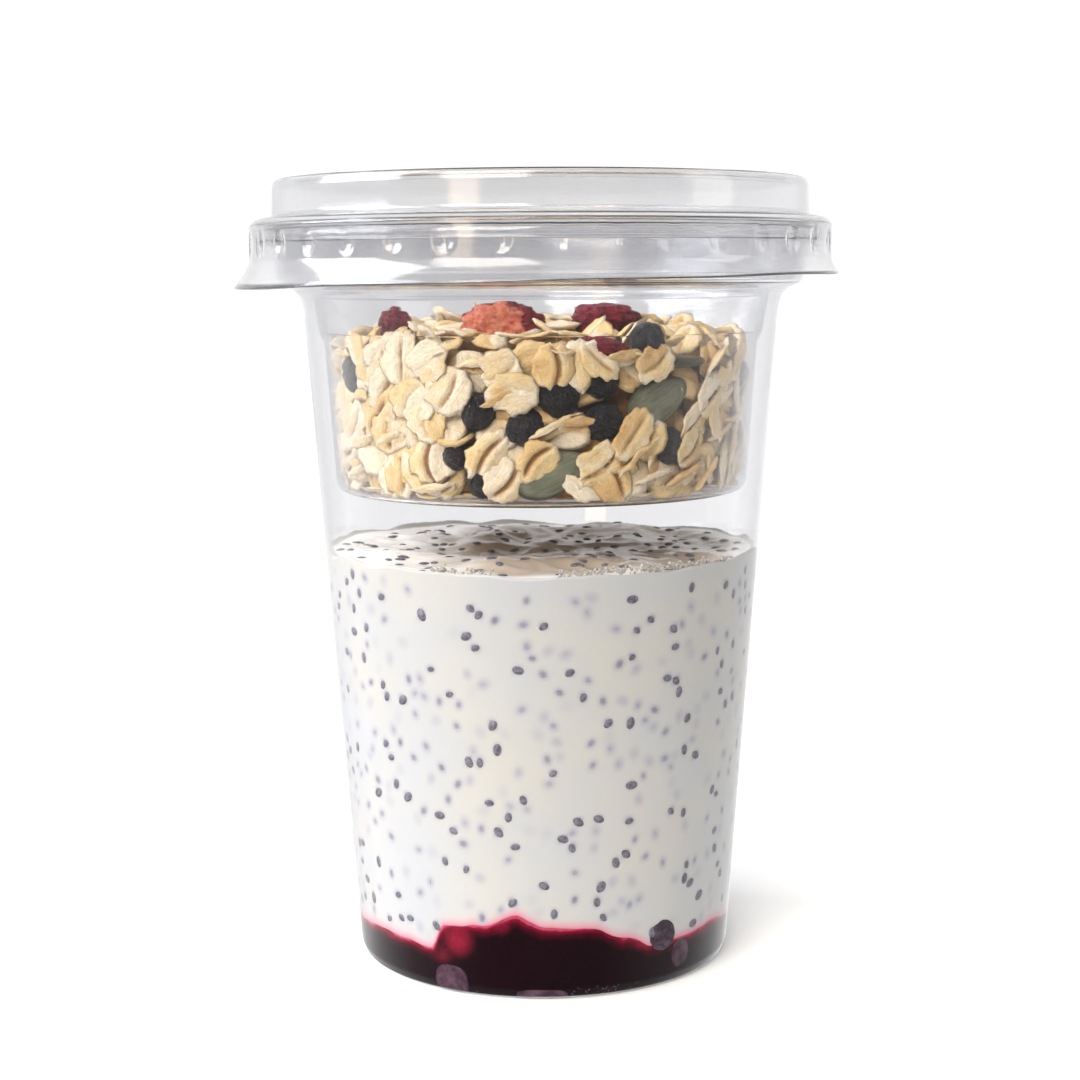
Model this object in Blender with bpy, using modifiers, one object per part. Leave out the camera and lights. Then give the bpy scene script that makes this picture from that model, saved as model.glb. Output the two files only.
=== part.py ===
"""A layered yogurt parfait in a clear cup with a push-on lid.

Berry compote lies at the bottom of a tapered cup, yogurt with chia seeds fills it to
the middle, and a clear insert hangs from the rim and holds rolled oats with dried
berries, pumpkin seeds and red fruit. The origin is at the middle of the base, +Z is
up, and the front of the cup faces -Y. Angles are degrees from the front, towards +X.
"""

import math
import random

import bmesh
import bpy
from mathutils import Matrix, Vector, noise

MM = 0.001  # every dimension below is in millimetres

# Driving dimensions of the cup, measured on the outside of its sheet
SEGMENTS = 32  # facets round every turned piece but the lid
WALL = 0.5
BASE_RADIUS = 31.55  # the tapered wall carried down to z = 0
CUP_TAPER = 0.0742  # radius gained for each millimetre of height
FOOT_IN, FOOT_OUT = 27.4, 29.9  # the flat ring that the cup stands on
BASE_LIFT = 1.2  # the middle of the base is raised by this much
HEEL_TOP = 1.9  # where the rounded heel meets the wall
WALL_TOP = 108.6  # the straight wall ends here and flares out to the collar
COLLAR_RADIUS, COLLAR_FOOT, COLLAR_TOP = 44.2, 115.6, 120.8
RIM_CROWN = 122.4  # underside of the rolled rim at its highest
RIM_RADIUS = 46.6  # inside of the roll, so that the rim is 94 mm across outside

# Driving dimensions of the insert, measured on the outside of its sheet
INSERT_WALL = 0.45
INSERT_FLOOR = 79.5
INSERT_EDGE = 2.2  # rounded edge of the floor
INSERT_RADIUS = 34.75  # wall where it meets the rounded edge
INSERT_TAPER = 0.07
STEP_FOOT, STEP_TOP, STEP_OUT = 104.2, 105.9, 0.75  # the stacking step
FLANGE_RADIUS = 47.2

# Driving dimensions of the lid, measured on the outside of its sheet
LID_COLUMNS = 72  # every second column holds one dimple
LID_SHEET = 0.4
LID_TOP = 131.0
DRUM_RADIUS, DRUM_FOOT = 44.6, 124.9
SKIRT_RADIUS, SKIRT_TOP = 48.5, 124.4
DIMPLE_HEIGHT, DIMPLE_DEPTH = 119.8, 0.45
FLARE_TOP = 117.7  # the skirt flares outwards below this
LIP_HEIGHT = 114.5  # lower edge of the flare at x = 0
LIP_SLANT = 1.0  # the edge hangs this much lower at -X and this much higher at +X
LIP_FLARE, FLARE_POWER = 1.75, 1.3  # how far the edge stands out at x = 0, and its curve

# Driving dimensions of the yogurt and the compote
FOOD_GAP = 0.3  # clearance between food and the sheet round it
LAYER_GAP = 0.7  # clearance between the two layers
YOGURT_LEVEL = 69.3
YOGURT_SWIRL = 0.75  # how much its top rises and falls
SURFACE_SEEDS = 14
SEED_HALF = (0.85, 0.6, 0.5)  # half axes of a soaked chia seed
COMPOTE_MIDDLE = 10.5
COMPOTE_EDGE = (  # upper edge of the compote at the wall: angle, height
    (-180, 9.5), (-150, 7.2), (-128, 9.0), (-104, 6.8), (-70, 7.2), (-55, 7.9),
    (-44, 7.6), (-35, 7.1), (-30, 11.4), (-17, 12.3), (-8, 14.2), (0, 12.4),
    (12, 11.9), (24, 9.7), (34, 7.5), (51, 7.8), (60, 8.3), (74, 7.1),
    (104, 8.2), (126, 10.6), (152, 7.6), (180, 9.5),
)
COMPOTE_BERRY = (37, 9.0, 5.8)  # angle, height, diameter
LAYER_RINGS = (0.0, 0.42, 0.84, 1.0)  # rings of the layers' meeting faces, as shares
SWIRL_RINGS = (0.0, 0.3, 0.58, 0.84, 1.0)  # rings of the yogurt's top

# Driving dimensions of the muesli
HEAP_EDGE, HEAP_MIDDLE = 103.6, 107.0  # its top at the wall and in the middle
CORE_INSET = 1.5  # the core is this much smaller than the heap
FLAKE_HALF = (4.1, 3.4, 0.52)  # half axes of a rolled oat
WALL_ROWS, ROW_FLAKES = 4, 16
TOP_FLAKES = 20
POCKET_GAP = 0.35  # clearance round a fruit or a seed that sits in the heap

BERRIES = (  # dark dried berries against the wall: angle, height, diameter
    (-64, 99.3, 6.6), (-17.3, 94.3, 5.4), (-24, 87.4, 4.4), (-16.7, 83.3, 4.8),
    (5.1, 97.0, 6.7), (-4.4, 91.9, 6.2), (16.5, 99.2, 5.2), (17, 92.8, 6.0),
    (38, 88.6, 5.6), (74, 99.0, 6.4), (30, 105.0, 5.2),
    (118, 90.0, 6.4), (150, 96.0, 6.0), (-172, 86.5, 6.2), (-122, 92.0, 6.4),
)

PUMPKIN_HALF = (6.3, 3.6, 1.1)  # half axes of a hulled pumpkin seed
PUMPKIN_SEEDS = (  # angle, height, roll, and whether it lies flat on the heap
    (33, 95.6, 27, False), (43, 101.8, 0, True), (2.7, 84.9, 22, False),
    (135, 86.5, -30, False), (-130, 97.5, 60, False),
)

RED_FRUIT = (  # freeze-dried pieces on top: x, y, z, yaw, and size
    (-24.0, -5.0, 107.7, 0, (6.0, 6.0, 6.2)), (-5.8, -14.0, 107.7, -8, (13.6, 9.0, 7.8)),
    (10.2, -6.0, 108.5, 10, (11.6, 8.0, 5.8)), (9.4, -31.3, 104.4, 16, (8.4, 4.2, 3.4)),
    (-8.0, 16.0, 107.6, 30, (9.0, 8.0, 6.4)),
)

ROLL_SEED = 11  # fixes every random draw


def clear_scene():
    for old in list(bpy.data.objects):
        bpy.data.objects.remove(old, do_unlink=True)


def new_collection(name, hidden=False):
    made = bpy.data.collections.new(name)
    made.hide_render = hidden
    bpy.context.scene.collection.children.link(made)
    return made


def finish(name, color, roughness, transmission=0.0):
    """A Principled material in the colour of the piece."""
    material = bpy.data.materials.new(name)
    material.use_nodes = True
    shader = material.node_tree.nodes["Principled BSDF"]
    shader.inputs["Base Color"].default_value = (*color, 1.0)
    shader.inputs["Roughness"].default_value = roughness
    shader.inputs["Metallic"].default_value = 0.0
    shader.inputs["Transmission Weight"].default_value = transmission
    material.diffuse_color = (*color, 0.3 if transmission else 1.0)
    return material


def place(name, mesh, collection, material=None):
    obj = bpy.data.objects.new(name, mesh)
    collection.objects.link(obj)
    if material:
        mesh.materials.append(material)
    return obj


def bake(obj):
    """Makes the object's modifiers its mesh."""
    graph = bpy.context.evaluated_depsgraph_get()
    mesh = bpy.data.meshes.new_from_object(obj.evaluated_get(graph))
    obj.modifiers.clear()
    obj.data = mesh


def turned(name, profile, columns, collection, material=None):
    """A profile of (radius, height), spun about Z."""
    mesh = bpy.data.meshes.new(name)
    points = [(radius * MM, 0.0, height * MM) for radius, height in profile]
    mesh.from_pydata(points, [(k, k + 1) for k in range(len(points) - 1)], [])
    obj = place(name, mesh, collection, material)
    screw = obj.modifiers.new("Turn", "SCREW")
    screw.steps = screw.render_steps = columns
    screw.use_merge_vertices = True
    screw.merge_threshold = 0.00001
    screw.use_smooth_shade = True
    return obj


def add_sheet(obj, thickness):
    solid = obj.modifiers.new("Sheet", "SOLIDIFY")
    solid.thickness = thickness * MM
    solid.offset = -1.0
    solid.use_even_offset = True


def arc(centre, radius, start, end, count):
    """Points of an arc in the profile plane, from one angle to another."""
    turns = (math.radians(start + (end - start) * k / count) for k in range(count + 1))
    return [(centre[0] + radius * math.cos(t), centre[1] + radius * math.sin(t)) for t in turns]


def cup_radius(height):
    return BASE_RADIUS + CUP_TAPER * height


def cup_room(height):
    """Radius that food may reach inside the cup."""
    heel = max(HEEL_TOP + WALL - height, 0.0)
    return cup_radius(height) - WALL - FOOD_GAP - 0.55 * heel**1.5


def insert_radius(height):
    wall = INSERT_RADIUS + INSERT_TAPER * (height - INSERT_FLOOR - INSERT_EDGE)
    return wall + (STEP_OUT if height > STEP_TOP else 0.0)


def insert_room(height):
    """Radius that food may reach inside the insert, between the facets' middles."""
    edge = INSERT_EDGE - INSERT_WALL
    drop = min(max(INSERT_FLOOR + INSERT_EDGE - height, 0.0), edge)
    rounded = edge - math.sqrt(edge**2 - drop**2)
    facet = math.cos(math.pi / SEGMENTS)
    return (insert_radius(height) - INSERT_WALL - rounded) * facet - FOOD_GAP


def make_cup(parts):
    rim = [
        (RIM_RADIUS, COLLAR_TOP), (RIM_RADIUS - 0.1, RIM_CROWN - 0.5),
        (RIM_RADIUS - 0.8, RIM_CROWN), (COLLAR_RADIUS + 0.7, RIM_CROWN),
    ]
    collar = [(COLLAR_RADIUS, COLLAR_TOP), (COLLAR_RADIUS - 0.15, COLLAR_FOOT)]
    flare = [(43.4, 113.8), (41.9, 112.4), (40.35, 110.8)]
    wall = [(cup_radius(WALL_TOP), WALL_TOP), (cup_radius(HEEL_TOP), HEEL_TOP)]
    heel = [(cup_radius(0) - 0.4, 0.5), (FOOT_OUT, 0.0)]
    base = [(FOOT_IN, 0.0), (FOOT_IN - 1.3, BASE_LIFT), (0.0, BASE_LIFT)]
    clear = finish("clear cup sheet", (0.93, 0.95, 0.97), 0.05, 1.0)
    cup = turned("cup", rim + collar + flare + wall + heel + base, SEGMENTS, parts, clear)
    add_sheet(cup, WALL)


def make_insert(parts):
    """Its flange lies on the cup's rim, and its collar fits inside the cup's collar."""
    flange = RIM_CROWN + WALL + FOOD_GAP
    inside = COLLAR_RADIUS - WALL - FOOD_GAP
    top = [(FLANGE_RADIUS, flange), (inside + 0.8, flange), (inside, flange - 0.9)]
    shoulder = [(inside - 0.5, 115.6), (inside - 1.4, 114.0), (39.4, 113.3)]
    ledge = [(38.2, 112.2), (insert_radius(STEP_TOP + 0.01), STEP_TOP)]
    step = [(insert_radius(STEP_FOOT), STEP_FOOT)]
    centre = (INSERT_RADIUS - INSERT_EDGE, INSERT_FLOOR + INSERT_EDGE)
    edge = arc(centre, INSERT_EDGE, 0, -90, 3)
    clear = finish("clear insert sheet", (0.94, 0.95, 0.97), 0.05, 1.0)
    profile = top + shoulder + ledge + step + edge + [(0.0, INSERT_FLOOR)]
    insert = turned("insert", profile, SEGMENTS, parts, clear)
    add_sheet(insert, INSERT_WALL)


def lip_flare(height):
    """How far the skirt stands out at a height below the top of its flare."""
    share = (FLARE_TOP - height) / (FLARE_TOP - LIP_HEIGHT)
    return LIP_FLARE * share**FLARE_POWER


def shape_skirt(lid):
    """Slants the lower edge of the skirt and presses the dimples into it."""
    for vert in lid.data.vertices:
        height = vert.co.z / MM
        turn = math.atan2(vert.co.y, vert.co.x)
        column = round(turn / math.tau * LID_COLUMNS)
        radius = SKIRT_RADIUS
        if height < FLARE_TOP - 0.01:
            share = (FLARE_TOP - height) / (FLARE_TOP - LIP_HEIGHT)
            height -= share * -LIP_SLANT * math.cos(turn)
            radius += lip_flare(height)
        elif abs(height - DIMPLE_HEIGHT) < 0.01 and column % 2:
            radius -= DIMPLE_DEPTH
        else:
            continue
        vert.co = Vector((radius * math.cos(turn), radius * math.sin(turn), height)) * MM


def make_lid(parts):
    panel = [(0.0, LID_TOP - 0.6), (41.4, LID_TOP - 0.6), (43.2, LID_TOP)]
    drum = [(DRUM_RADIUS, LID_TOP - 1.3), (DRUM_RADIUS + 0.15, DRUM_FOOT)]
    skirt = [(SKIRT_RADIUS - 0.7, SKIRT_TOP), (SKIRT_RADIUS, SKIRT_TOP - 0.9)]
    skirt += [(SKIRT_RADIUS, DIMPLE_HEIGHT), (SKIRT_RADIUS, FLARE_TOP)]
    flare = [(SKIRT_RADIUS, FLARE_TOP + share * (LIP_HEIGHT - FLARE_TOP)) for share in (0.5, 1.0)]
    clear = finish("clear lid sheet", (0.92, 0.94, 0.96), 0.05, 1.0)
    lid = turned("lid", panel + drum + skirt + flare, LID_COLUMNS, parts, clear)
    bake(lid)
    shape_skirt(lid)
    add_sheet(lid, LID_SHEET)


def compote_edge(angle):
    """Height of the compote at the wall, read between the points of its edge."""
    for (low, start), (high, end) in zip(COMPOTE_EDGE, COMPOTE_EDGE[1:]):
        if low <= angle <= high:
            share = (angle - low) / (high - low)
            return start + (end - start) * share * share * (3 - 2 * share)
    return COMPOTE_EDGE[0][1]


def compote_top(x, y):
    reach = min(math.hypot(x, y) / cup_radius(10.0), 1.0)
    edge = compote_edge(math.degrees(math.atan2(x, -y)))
    return COMPOTE_MIDDLE + (edge - COMPOTE_MIDDLE) * reach**3


def yogurt_top(x, y):
    """The top of the yogurt, left in soft ridges by the spoon."""
    reach = math.hypot(x, y)
    turn = math.atan2(y, x)
    ridge = math.sin(2 * turn + reach * 0.22) * min(reach / 12.0, 1.0)
    rough = noise.noise(Vector((x * 0.11, y * 0.11, ROLL_SEED)))
    return YOGURT_LEVEL + YOGURT_SWIRL * (0.55 * ridge + 0.9 * rough)


def make_layer(name, top, bottom, parts, material, rings, under_rings):
    """A layer of food that fills the cup between two uneven heights."""
    middle = (top(0.0, 0.0), bottom(0.0, 0.0))
    outline = [(ring, 1.0) for ring in rings] + [(1.0, 0.5)]
    outline += [(ring, 0.0) for ring in reversed(under_rings)]
    profile = [(share * 30.0, 20.0 + level) for share, level in outline]
    layer = turned(name, profile, SEGMENTS, parts, material)
    bake(layer)
    for vert in layer.data.vertices:
        share = math.hypot(vert.co.x, vert.co.y) / MM / 30.0
        level = min(max(vert.co.z / MM - 20.0, 0.0), 1.0)
        turn = math.atan2(vert.co.y, vert.co.x)
        radius = share * cup_room(middle[0] * level + middle[1] * (1 - level))
        for _ in range(3):  # the wall tapers, so the radius depends on the height
            x, y = radius * math.cos(turn), radius * math.sin(turn)
            height = top(x, y) * level + bottom(x, y) * (1 - level)
            radius = share * cup_room(height)
        vert.co = Vector((radius * math.cos(turn), radius * math.sin(turn), height)) * MM
    return layer


def pebble(name, half, rng, collection, detail=1, unevenness=0.08, material=None):
    """A round body with the given half axes, a little different each time."""
    bm = bmesh.new()
    bmesh.ops.create_icosphere(bm, subdivisions=detail, radius=1.0)
    offset = Vector((rng.random(), rng.random(), rng.random())) * 50.0
    for vert in bm.verts:
        bump = 1.0 + unevenness * noise.noise(vert.co * 1.7 + offset) * 2.0
        vert.co = Vector(vert.co[k] * half[k] * bump for k in range(3)) * MM
    mesh = bpy.data.meshes.new(name)
    bm.to_mesh(mesh)
    bm.free()
    if detail > 1:
        mesh.shade_smooth()
    return place(name, mesh, collection, material)


def wall_frame(angle, radius, height):
    """At a place round the axis: X along the wall, Y up, and Z away from the axis."""
    turn = math.radians(angle)
    out = Vector((math.sin(turn), -math.cos(turn), 0.0))
    along = Vector((math.cos(turn), math.sin(turn), 0.0))
    axes = Matrix((along, Vector((0, 0, 1)), out)).transposed().to_4x4()
    return Matrix.Translation((out * radius + Vector((0, 0, height))) * MM) @ axes


def keep_in_insert(obj):
    """Moves the mesh to its place, and pulls in what would touch the insert."""
    obj.data.transform(obj.matrix_world)
    obj.matrix_world = Matrix()
    floor = INSERT_FLOOR + INSERT_WALL + FOOD_GAP
    for vert in obj.data.vertices:
        vert.co.z = max(vert.co.z, floor * MM)
        reach = math.hypot(vert.co.x, vert.co.y)
        room = insert_room(vert.co.z / MM) * MM
        if reach > room:
            vert.co.xy *= room / reach


def settle(obj, matrix):
    obj.matrix_world = matrix
    bpy.context.view_layer.update()
    keep_in_insert(obj)


def grown(obj, gap, collection):
    """A copy of a piece that is larger all round, to cut its pocket."""
    mesh = obj.data.copy()
    normals = [vert.normal.copy() for vert in mesh.vertices]
    for vert, normal in zip(mesh.vertices, normals):
        vert.co += normal * gap * MM
    cutter = place(obj.name + "_pocket", mesh, collection)
    cutter.display_type = "WIRE"
    cutter.hide_render = True
    return cutter


def join_or_cut(obj, operation, pieces, solver="EXACT"):
    """Joins the collection's pieces to the object, or cuts them out, and removes them."""
    boolean = obj.modifiers.new(operation.title(), "BOOLEAN")
    boolean.operation = operation
    boolean.operand_type = "COLLECTION"
    boolean.collection = pieces
    boolean.solver = solver
    bake(obj)
    for piece in list(pieces.objects):
        bpy.data.objects.remove(piece, do_unlink=True)
    bpy.data.collections.remove(pieces)
    keep_main_body(obj)


def keep_main_body(obj):
    """Drops loose scraps and fills sealed hollows, which are separate shells of the mesh."""
    bm = bmesh.new()
    bm.from_mesh(obj.data)
    shells = []
    left = set(bm.verts)
    while left:
        found = {left.pop()}
        edge = list(found)
        while edge:
            near = {link.other_vert(vert) for vert in edge for link in vert.link_edges}
            edge = list(near & left)
            left.difference_update(edge)
            found.update(edge)
        shells.append(found)
    shells.sort(key=len)
    for scrap in shells[:-1]:
        bmesh.ops.delete(bm, geom=list(scrap), context="VERTS")
    bm.to_mesh(obj.data)
    bm.free()


def make_compote(parts, rng):
    """The compote, and the whole berry between it and the yogurt."""
    red = finish("berry compote", (0.05, 0.0, 0.012), 0.25)
    dark = finish("soaked berry", (0.04, 0.02, 0.05), 0.45)

    def floor(x, y):
        lift = min(max((FOOT_IN + 1.0 - math.hypot(x, y)) / 2.3, 0.0), 1.0)
        return WALL + FOOD_GAP + (BASE_LIFT + 0.1) * lift

    compote = make_layer("compote", compote_top, floor, parts, red, LAYER_RINGS, LAYER_RINGS)
    angle, height, across = COMPOTE_BERRY
    berry = pebble("compote_berry", (across / 2,) * 3, rng, parts, 2, 0.05, dark)
    reach = cup_room(height) - across / 2 - 0.35
    berry.data.transform(wall_frame(angle, reach, height))
    return compote, berry


def make_yogurt(parts, rng):
    white = finish("yogurt", (0.86, 0.85, 0.82), 0.35)

    def underside(x, y):
        return compote_top(x, y) + LAYER_GAP

    yogurt = make_layer("yogurt", yogurt_top, underside, parts, white, SWIRL_RINGS, LAYER_RINGS)
    seeds = new_collection("surface seeds", hidden=True)
    for k in range(SURFACE_SEEDS):
        reach = (cup_room(YOGURT_LEVEL) - 3.0) * math.sqrt((k + 0.5) / SURFACE_SEEDS)
        turn = k * math.radians(137.508) + rng.uniform(-0.3, 0.3)
        x, y = reach * math.cos(turn), reach * math.sin(turn)
        seed = pebble(f"seed_{k}", SEED_HALF, rng, seeds)
        spin = Matrix.Rotation(rng.uniform(0, math.tau), 4, "Z")
        seed.data.transform(Matrix.Translation(Vector((x, y, yogurt_top(x, y) + 0.1)) * MM) @ spin)
    join_or_cut(yogurt, "UNION", seeds)
    return yogurt


def heap_top(x, y):
    reach = min(math.hypot(x, y) / insert_radius(HEAP_EDGE), 1.0)
    return HEAP_MIDDLE + (HEAP_EDGE - HEAP_MIDDLE) * reach**2


def make_core(parts):
    oat = finish("rolled oats", (0.72, 0.55, 0.34), 0.7)
    wall_top = HEAP_EDGE - CORE_INSET
    bottom = INSERT_FLOOR + INSERT_WALL + FOOD_GAP
    crown = [(12.0 * k, heap_top(12.0 * k, 0.0) - CORE_INSET) for k in range(3)]
    side = [(insert_room(z) - CORE_INSET, z) for z in (wall_top - 0.4, bottom + 2.0)]
    base = [(insert_room(bottom + 0.6) - CORE_INSET - 0.8, bottom + 0.5), (0.0, bottom + 0.5)]
    core = turned("muesli", crown + side + base, SEGMENTS, parts, oat)
    bake(core)
    return core


def make_toppings(parts, rng):
    """Dark berries, pumpkin seeds and red fruit, each in its own place in the heap."""
    dark = finish("dried berry", (0.02, 0.016, 0.025), 0.6)
    green = finish("pumpkin seed", (0.19, 0.2, 0.09), 0.4)
    red = finish("freeze-dried fruit", (0.3, 0.03, 0.035), 0.75)
    toppings = []
    for k, (angle, height, across) in enumerate(BERRIES):
        half = across / 2
        berry = pebble(f"berry_{k + 1:02d}", (half, half, half * 0.94), rng, parts, 2, 0.04, dark)
        settle(berry, wall_frame(angle, insert_room(height) - half - 0.2, height))
        toppings.append(berry)
    for k, (angle, height, roll, lies_flat) in enumerate(PUMPKIN_SEEDS):
        seed = pebble(f"pumpkin_seed_{k + 1}", PUMPKIN_HALF, rng, parts, 2, 0.02, green)
        inset = PUMPKIN_HALF[1] if lies_flat else PUMPKIN_HALF[2]
        pose = Matrix.Rotation(math.radians(90 if lies_flat else 0), 4, "X")
        pose @= Matrix.Rotation(math.radians(roll), 4, "Z")
        settle(seed, wall_frame(angle, insert_room(height) - inset - 0.9, height) @ pose)
        toppings.append(seed)
    for k, (x, y, z, yaw, size) in enumerate(RED_FRUIT):
        half = [side / 2 for side in size]
        fruit = pebble(f"red_fruit_{k + 1}", half, rng, parts, 2, 0.07, red)
        spin = Matrix.Rotation(math.radians(yaw), 4, "Z")
        settle(fruit, Matrix.Translation(Vector((x, y, z)) * MM) @ spin)
        toppings.append(fruit)
    return toppings


def tilt(rng, most):
    """A small turn about two axes and any turn about the third."""
    lean = Matrix.Rotation(math.radians(rng.uniform(-most, most)), 4, "X")
    lean @= Matrix.Rotation(math.radians(rng.uniform(-most, most)), 4, "Y")
    return lean @ Matrix.Rotation(rng.uniform(0, math.tau), 4, "Z")


def flake_poses(rng):
    """Places of the flakes, first against the wall and then on top."""
    low = INSERT_FLOOR + 4.4
    step = (HEAP_EDGE - 2.6 - low) / (WALL_ROWS - 1)
    for row in range(WALL_ROWS):
        for k in range(ROW_FLAKES):
            angle = (k + 0.5 * (row % 2) + rng.uniform(-0.2, 0.2)) * 360.0 / ROW_FLAKES - 180.0
            height = low + row * step + rng.uniform(-0.7, 0.7)
            yield wall_frame(angle, insert_room(height) - 1.0, height) @ tilt(rng, 24)
    for k in range(TOP_FLAKES):
        reach = (insert_room(HEAP_EDGE) - 3.6) * math.sqrt((k + 0.5) / TOP_FLAKES)
        turn = k * math.radians(137.508)
        x, y = reach * math.cos(turn), reach * math.sin(turn)
        yield Matrix.Translation(Vector((x, y, heap_top(x, y) - 0.7)) * MM) @ tilt(rng, 22)


def is_clear(place_of_flake, toppings):
    """Whether a flake's middle is clear of every topping."""
    for topping in toppings:
        near = min((vert.co - place_of_flake).length for vert in topping.data.vertices)
        if near < FLAKE_HALF[1] * 0.75 * MM:
            return False
    return True


def make_muesli(parts, rng):
    toppings = make_toppings(parts, rng)
    core = make_core(parts)
    flakes = new_collection("flakes", hidden=True)
    for k, pose in enumerate(flake_poses(rng)):
        if not is_clear(pose.translation, toppings):
            continue
        size = rng.uniform(0.86, 1.1)
        flake = pebble(f"flake_{k}", [half * size for half in FLAKE_HALF], rng, flakes)
        settle(flake, pose)
    join_or_cut(core, "UNION", flakes, "MANIFOLD")
    pockets = new_collection("pockets", hidden=True)
    for topping in toppings:
        grown(topping, POCKET_GAP, pockets)
    join_or_cut(core, "DIFFERENCE", pockets, "MANIFOLD")


def main():
    clear_scene()
    rng = random.Random(ROLL_SEED)
    parts = new_collection("yogurt parfait")
    make_cup(parts)
    make_insert(parts)
    make_lid(parts)
    compote, berry = make_compote(parts, rng)
    yogurt = make_yogurt(parts, rng)
    for layer in (compote, yogurt):
        pocket = new_collection(f"pocket in the {layer.name}", hidden=True)
        grown(berry, POCKET_GAP, pocket)
        join_or_cut(layer, "DIFFERENCE", pocket)
    make_muesli(parts, rng)


main()
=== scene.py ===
import math

import bpy
import numpy as np
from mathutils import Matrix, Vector, noise


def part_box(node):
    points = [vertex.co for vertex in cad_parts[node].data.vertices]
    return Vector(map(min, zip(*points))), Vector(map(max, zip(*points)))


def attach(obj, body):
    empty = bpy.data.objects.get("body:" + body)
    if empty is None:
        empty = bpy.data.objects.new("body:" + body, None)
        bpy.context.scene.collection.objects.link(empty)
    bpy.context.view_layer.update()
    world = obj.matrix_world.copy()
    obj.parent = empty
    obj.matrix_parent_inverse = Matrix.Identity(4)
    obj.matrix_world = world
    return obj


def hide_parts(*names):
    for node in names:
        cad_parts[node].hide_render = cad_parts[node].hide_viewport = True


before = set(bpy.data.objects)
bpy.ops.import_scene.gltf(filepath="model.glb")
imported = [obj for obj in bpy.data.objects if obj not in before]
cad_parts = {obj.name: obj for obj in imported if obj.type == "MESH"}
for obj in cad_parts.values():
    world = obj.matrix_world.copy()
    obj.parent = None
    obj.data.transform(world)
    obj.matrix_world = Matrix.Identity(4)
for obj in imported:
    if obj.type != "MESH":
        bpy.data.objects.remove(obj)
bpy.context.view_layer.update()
mm = 0.001
fullTurn = 2 * math.pi
goldenTurn = math.radians(137.508)  # from one place to the next, it fills a round evenly
print("frame loaded:", len(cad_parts), "nodes")


def hexColour(text):
    shares = [int(text[k : k + 2], 16) / 255 for k in (1, 3, 5)]
    linear = [s / 12.92 if s <= 0.04045 else ((s + 0.055) / 1.055) ** 2.4 for s in shares]
    return (*linear, 1.0)


def newMaterial(name):
    material = bpy.data.materials.new(name)
    material.use_nodes = True
    material.node_tree.nodes.clear()
    return material, material.node_tree


def addNode(tree, kind, inputs=None, **settings):
    # one node with its settings; an input is a value, a hex colour, an output of another node,
    # or that node itself for its first output
    node = tree.nodes.new("ShaderNode" + kind)
    for name, value in settings.items():
        setattr(node, name, value)
    for name, value in (inputs or {}).items():
        if isinstance(value, bpy.types.Node):
            value = value.outputs[0]
        if isinstance(value, bpy.types.NodeSocket):
            tree.links.new(value, node.inputs[name])
        else:
            node.inputs[name].default_value = hexColour(value) if isinstance(value, str) else value
    return node


def addRamp(tree, source, stops):
    # colours or shares along a value: stops of (place, colour)
    ramp = addNode(tree, "ValToRGB", {0: source})
    bar = ramp.color_ramp
    for k, (place, colour) in enumerate(stops):
        stop = bar.elements[k] if k < 2 else bar.elements.new(place)
        stop.position = place
        stop.color = hexColour(colour) if isinstance(colour, str) else (colour,) * 3 + (1.0,)
    return ramp.outputs[0]


def mixColours(tree, share, first, second, blend="MIX"):
    mix = addNode(tree, "Mix", {0: share, 6: first, 7: second}, data_type="RGBA", blend_type=blend)
    return mix.outputs[2]


def mixBetween(tree, value, ends, first, second):
    # from one colour to the other between two places of a value
    share = addRamp(tree, value, [(ends[0], 0.0), (ends[1], 1.0)])
    return mixColours(tree, share, first, second)


def perMillimetre(size):
    # scale of a texture whose pattern repeats about once in this many millimetres
    return 1000.0 / size


# Meshes


def makePiece(name, points, faces, material, nodes=(), marks=None):
    # a mesh in its place, riding on the one body, standing for its CAD nodes
    mesh = bpy.data.meshes.new(name)
    mesh.from_pydata((np.asarray(points) * mm).tolist(), [], faces)
    for label, values in (marks or {}).items():
        isVector = values.ndim == 2
        layer = mesh.attributes.new(label, "FLOAT_VECTOR" if isVector else "FLOAT", "POINT")
        field = "vector" if isVector else "value"
        layer.data.foreach_set(field, np.ascontiguousarray(values, np.float32).ravel())
    mesh.polygons.foreach_set("use_smooth", [True] * len(mesh.polygons))
    mesh.update()
    mesh.materials.append(material)
    piece = bpy.data.objects.new(name, mesh)
    bpy.context.scene.collection.objects.link(piece)
    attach(piece, "root")
    if nodes:
        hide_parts(*nodes)
    return piece


def waves(points, size, seed, count=14):
    # smooth unevenness, about -1 to 1, with bumps of this size
    draw = np.random.default_rng(seed)
    directions = draw.normal(size=(count, 3))
    directions /= np.linalg.norm(directions, axis=1, keepdims=True)
    steps = directions * draw.uniform(0.6, 1.5, (count, 1)) * fullTurn / size
    return np.sin(points @ steps.T + draw.uniform(0, fullTurn, count)).sum(1) / math.sqrt(count)


def flatPoints(x, y):
    return np.stack([x, y, 0 * x], -1).reshape(-1, 3)


def arcFrom(angle, turns):
    # from an angle to these turns about the axis, the shorter way, in radians
    return (turns - math.radians(angle) + math.pi) % fullTurn - math.pi


def rowMarks(values, first=0.0, last=0.0):
    # marks for a turned surface: its rows, then its two points at the axis
    return np.concatenate([values[1:-1].ravel(), [first, last]])


def boxOf(node):
    # middle and half size of a CAD node's box
    low, high = (np.array(corner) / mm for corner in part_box(node))
    return (low + high) / 2, (high - low) / 2


def angleOf(point):
    return math.degrees(math.atan2(point[0], -point[1]))


def easeBetween(low, high, value):
    share = np.clip((value - low) / (high - low), 0, 1)
    return share * share * (3 - 2 * share)


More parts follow.
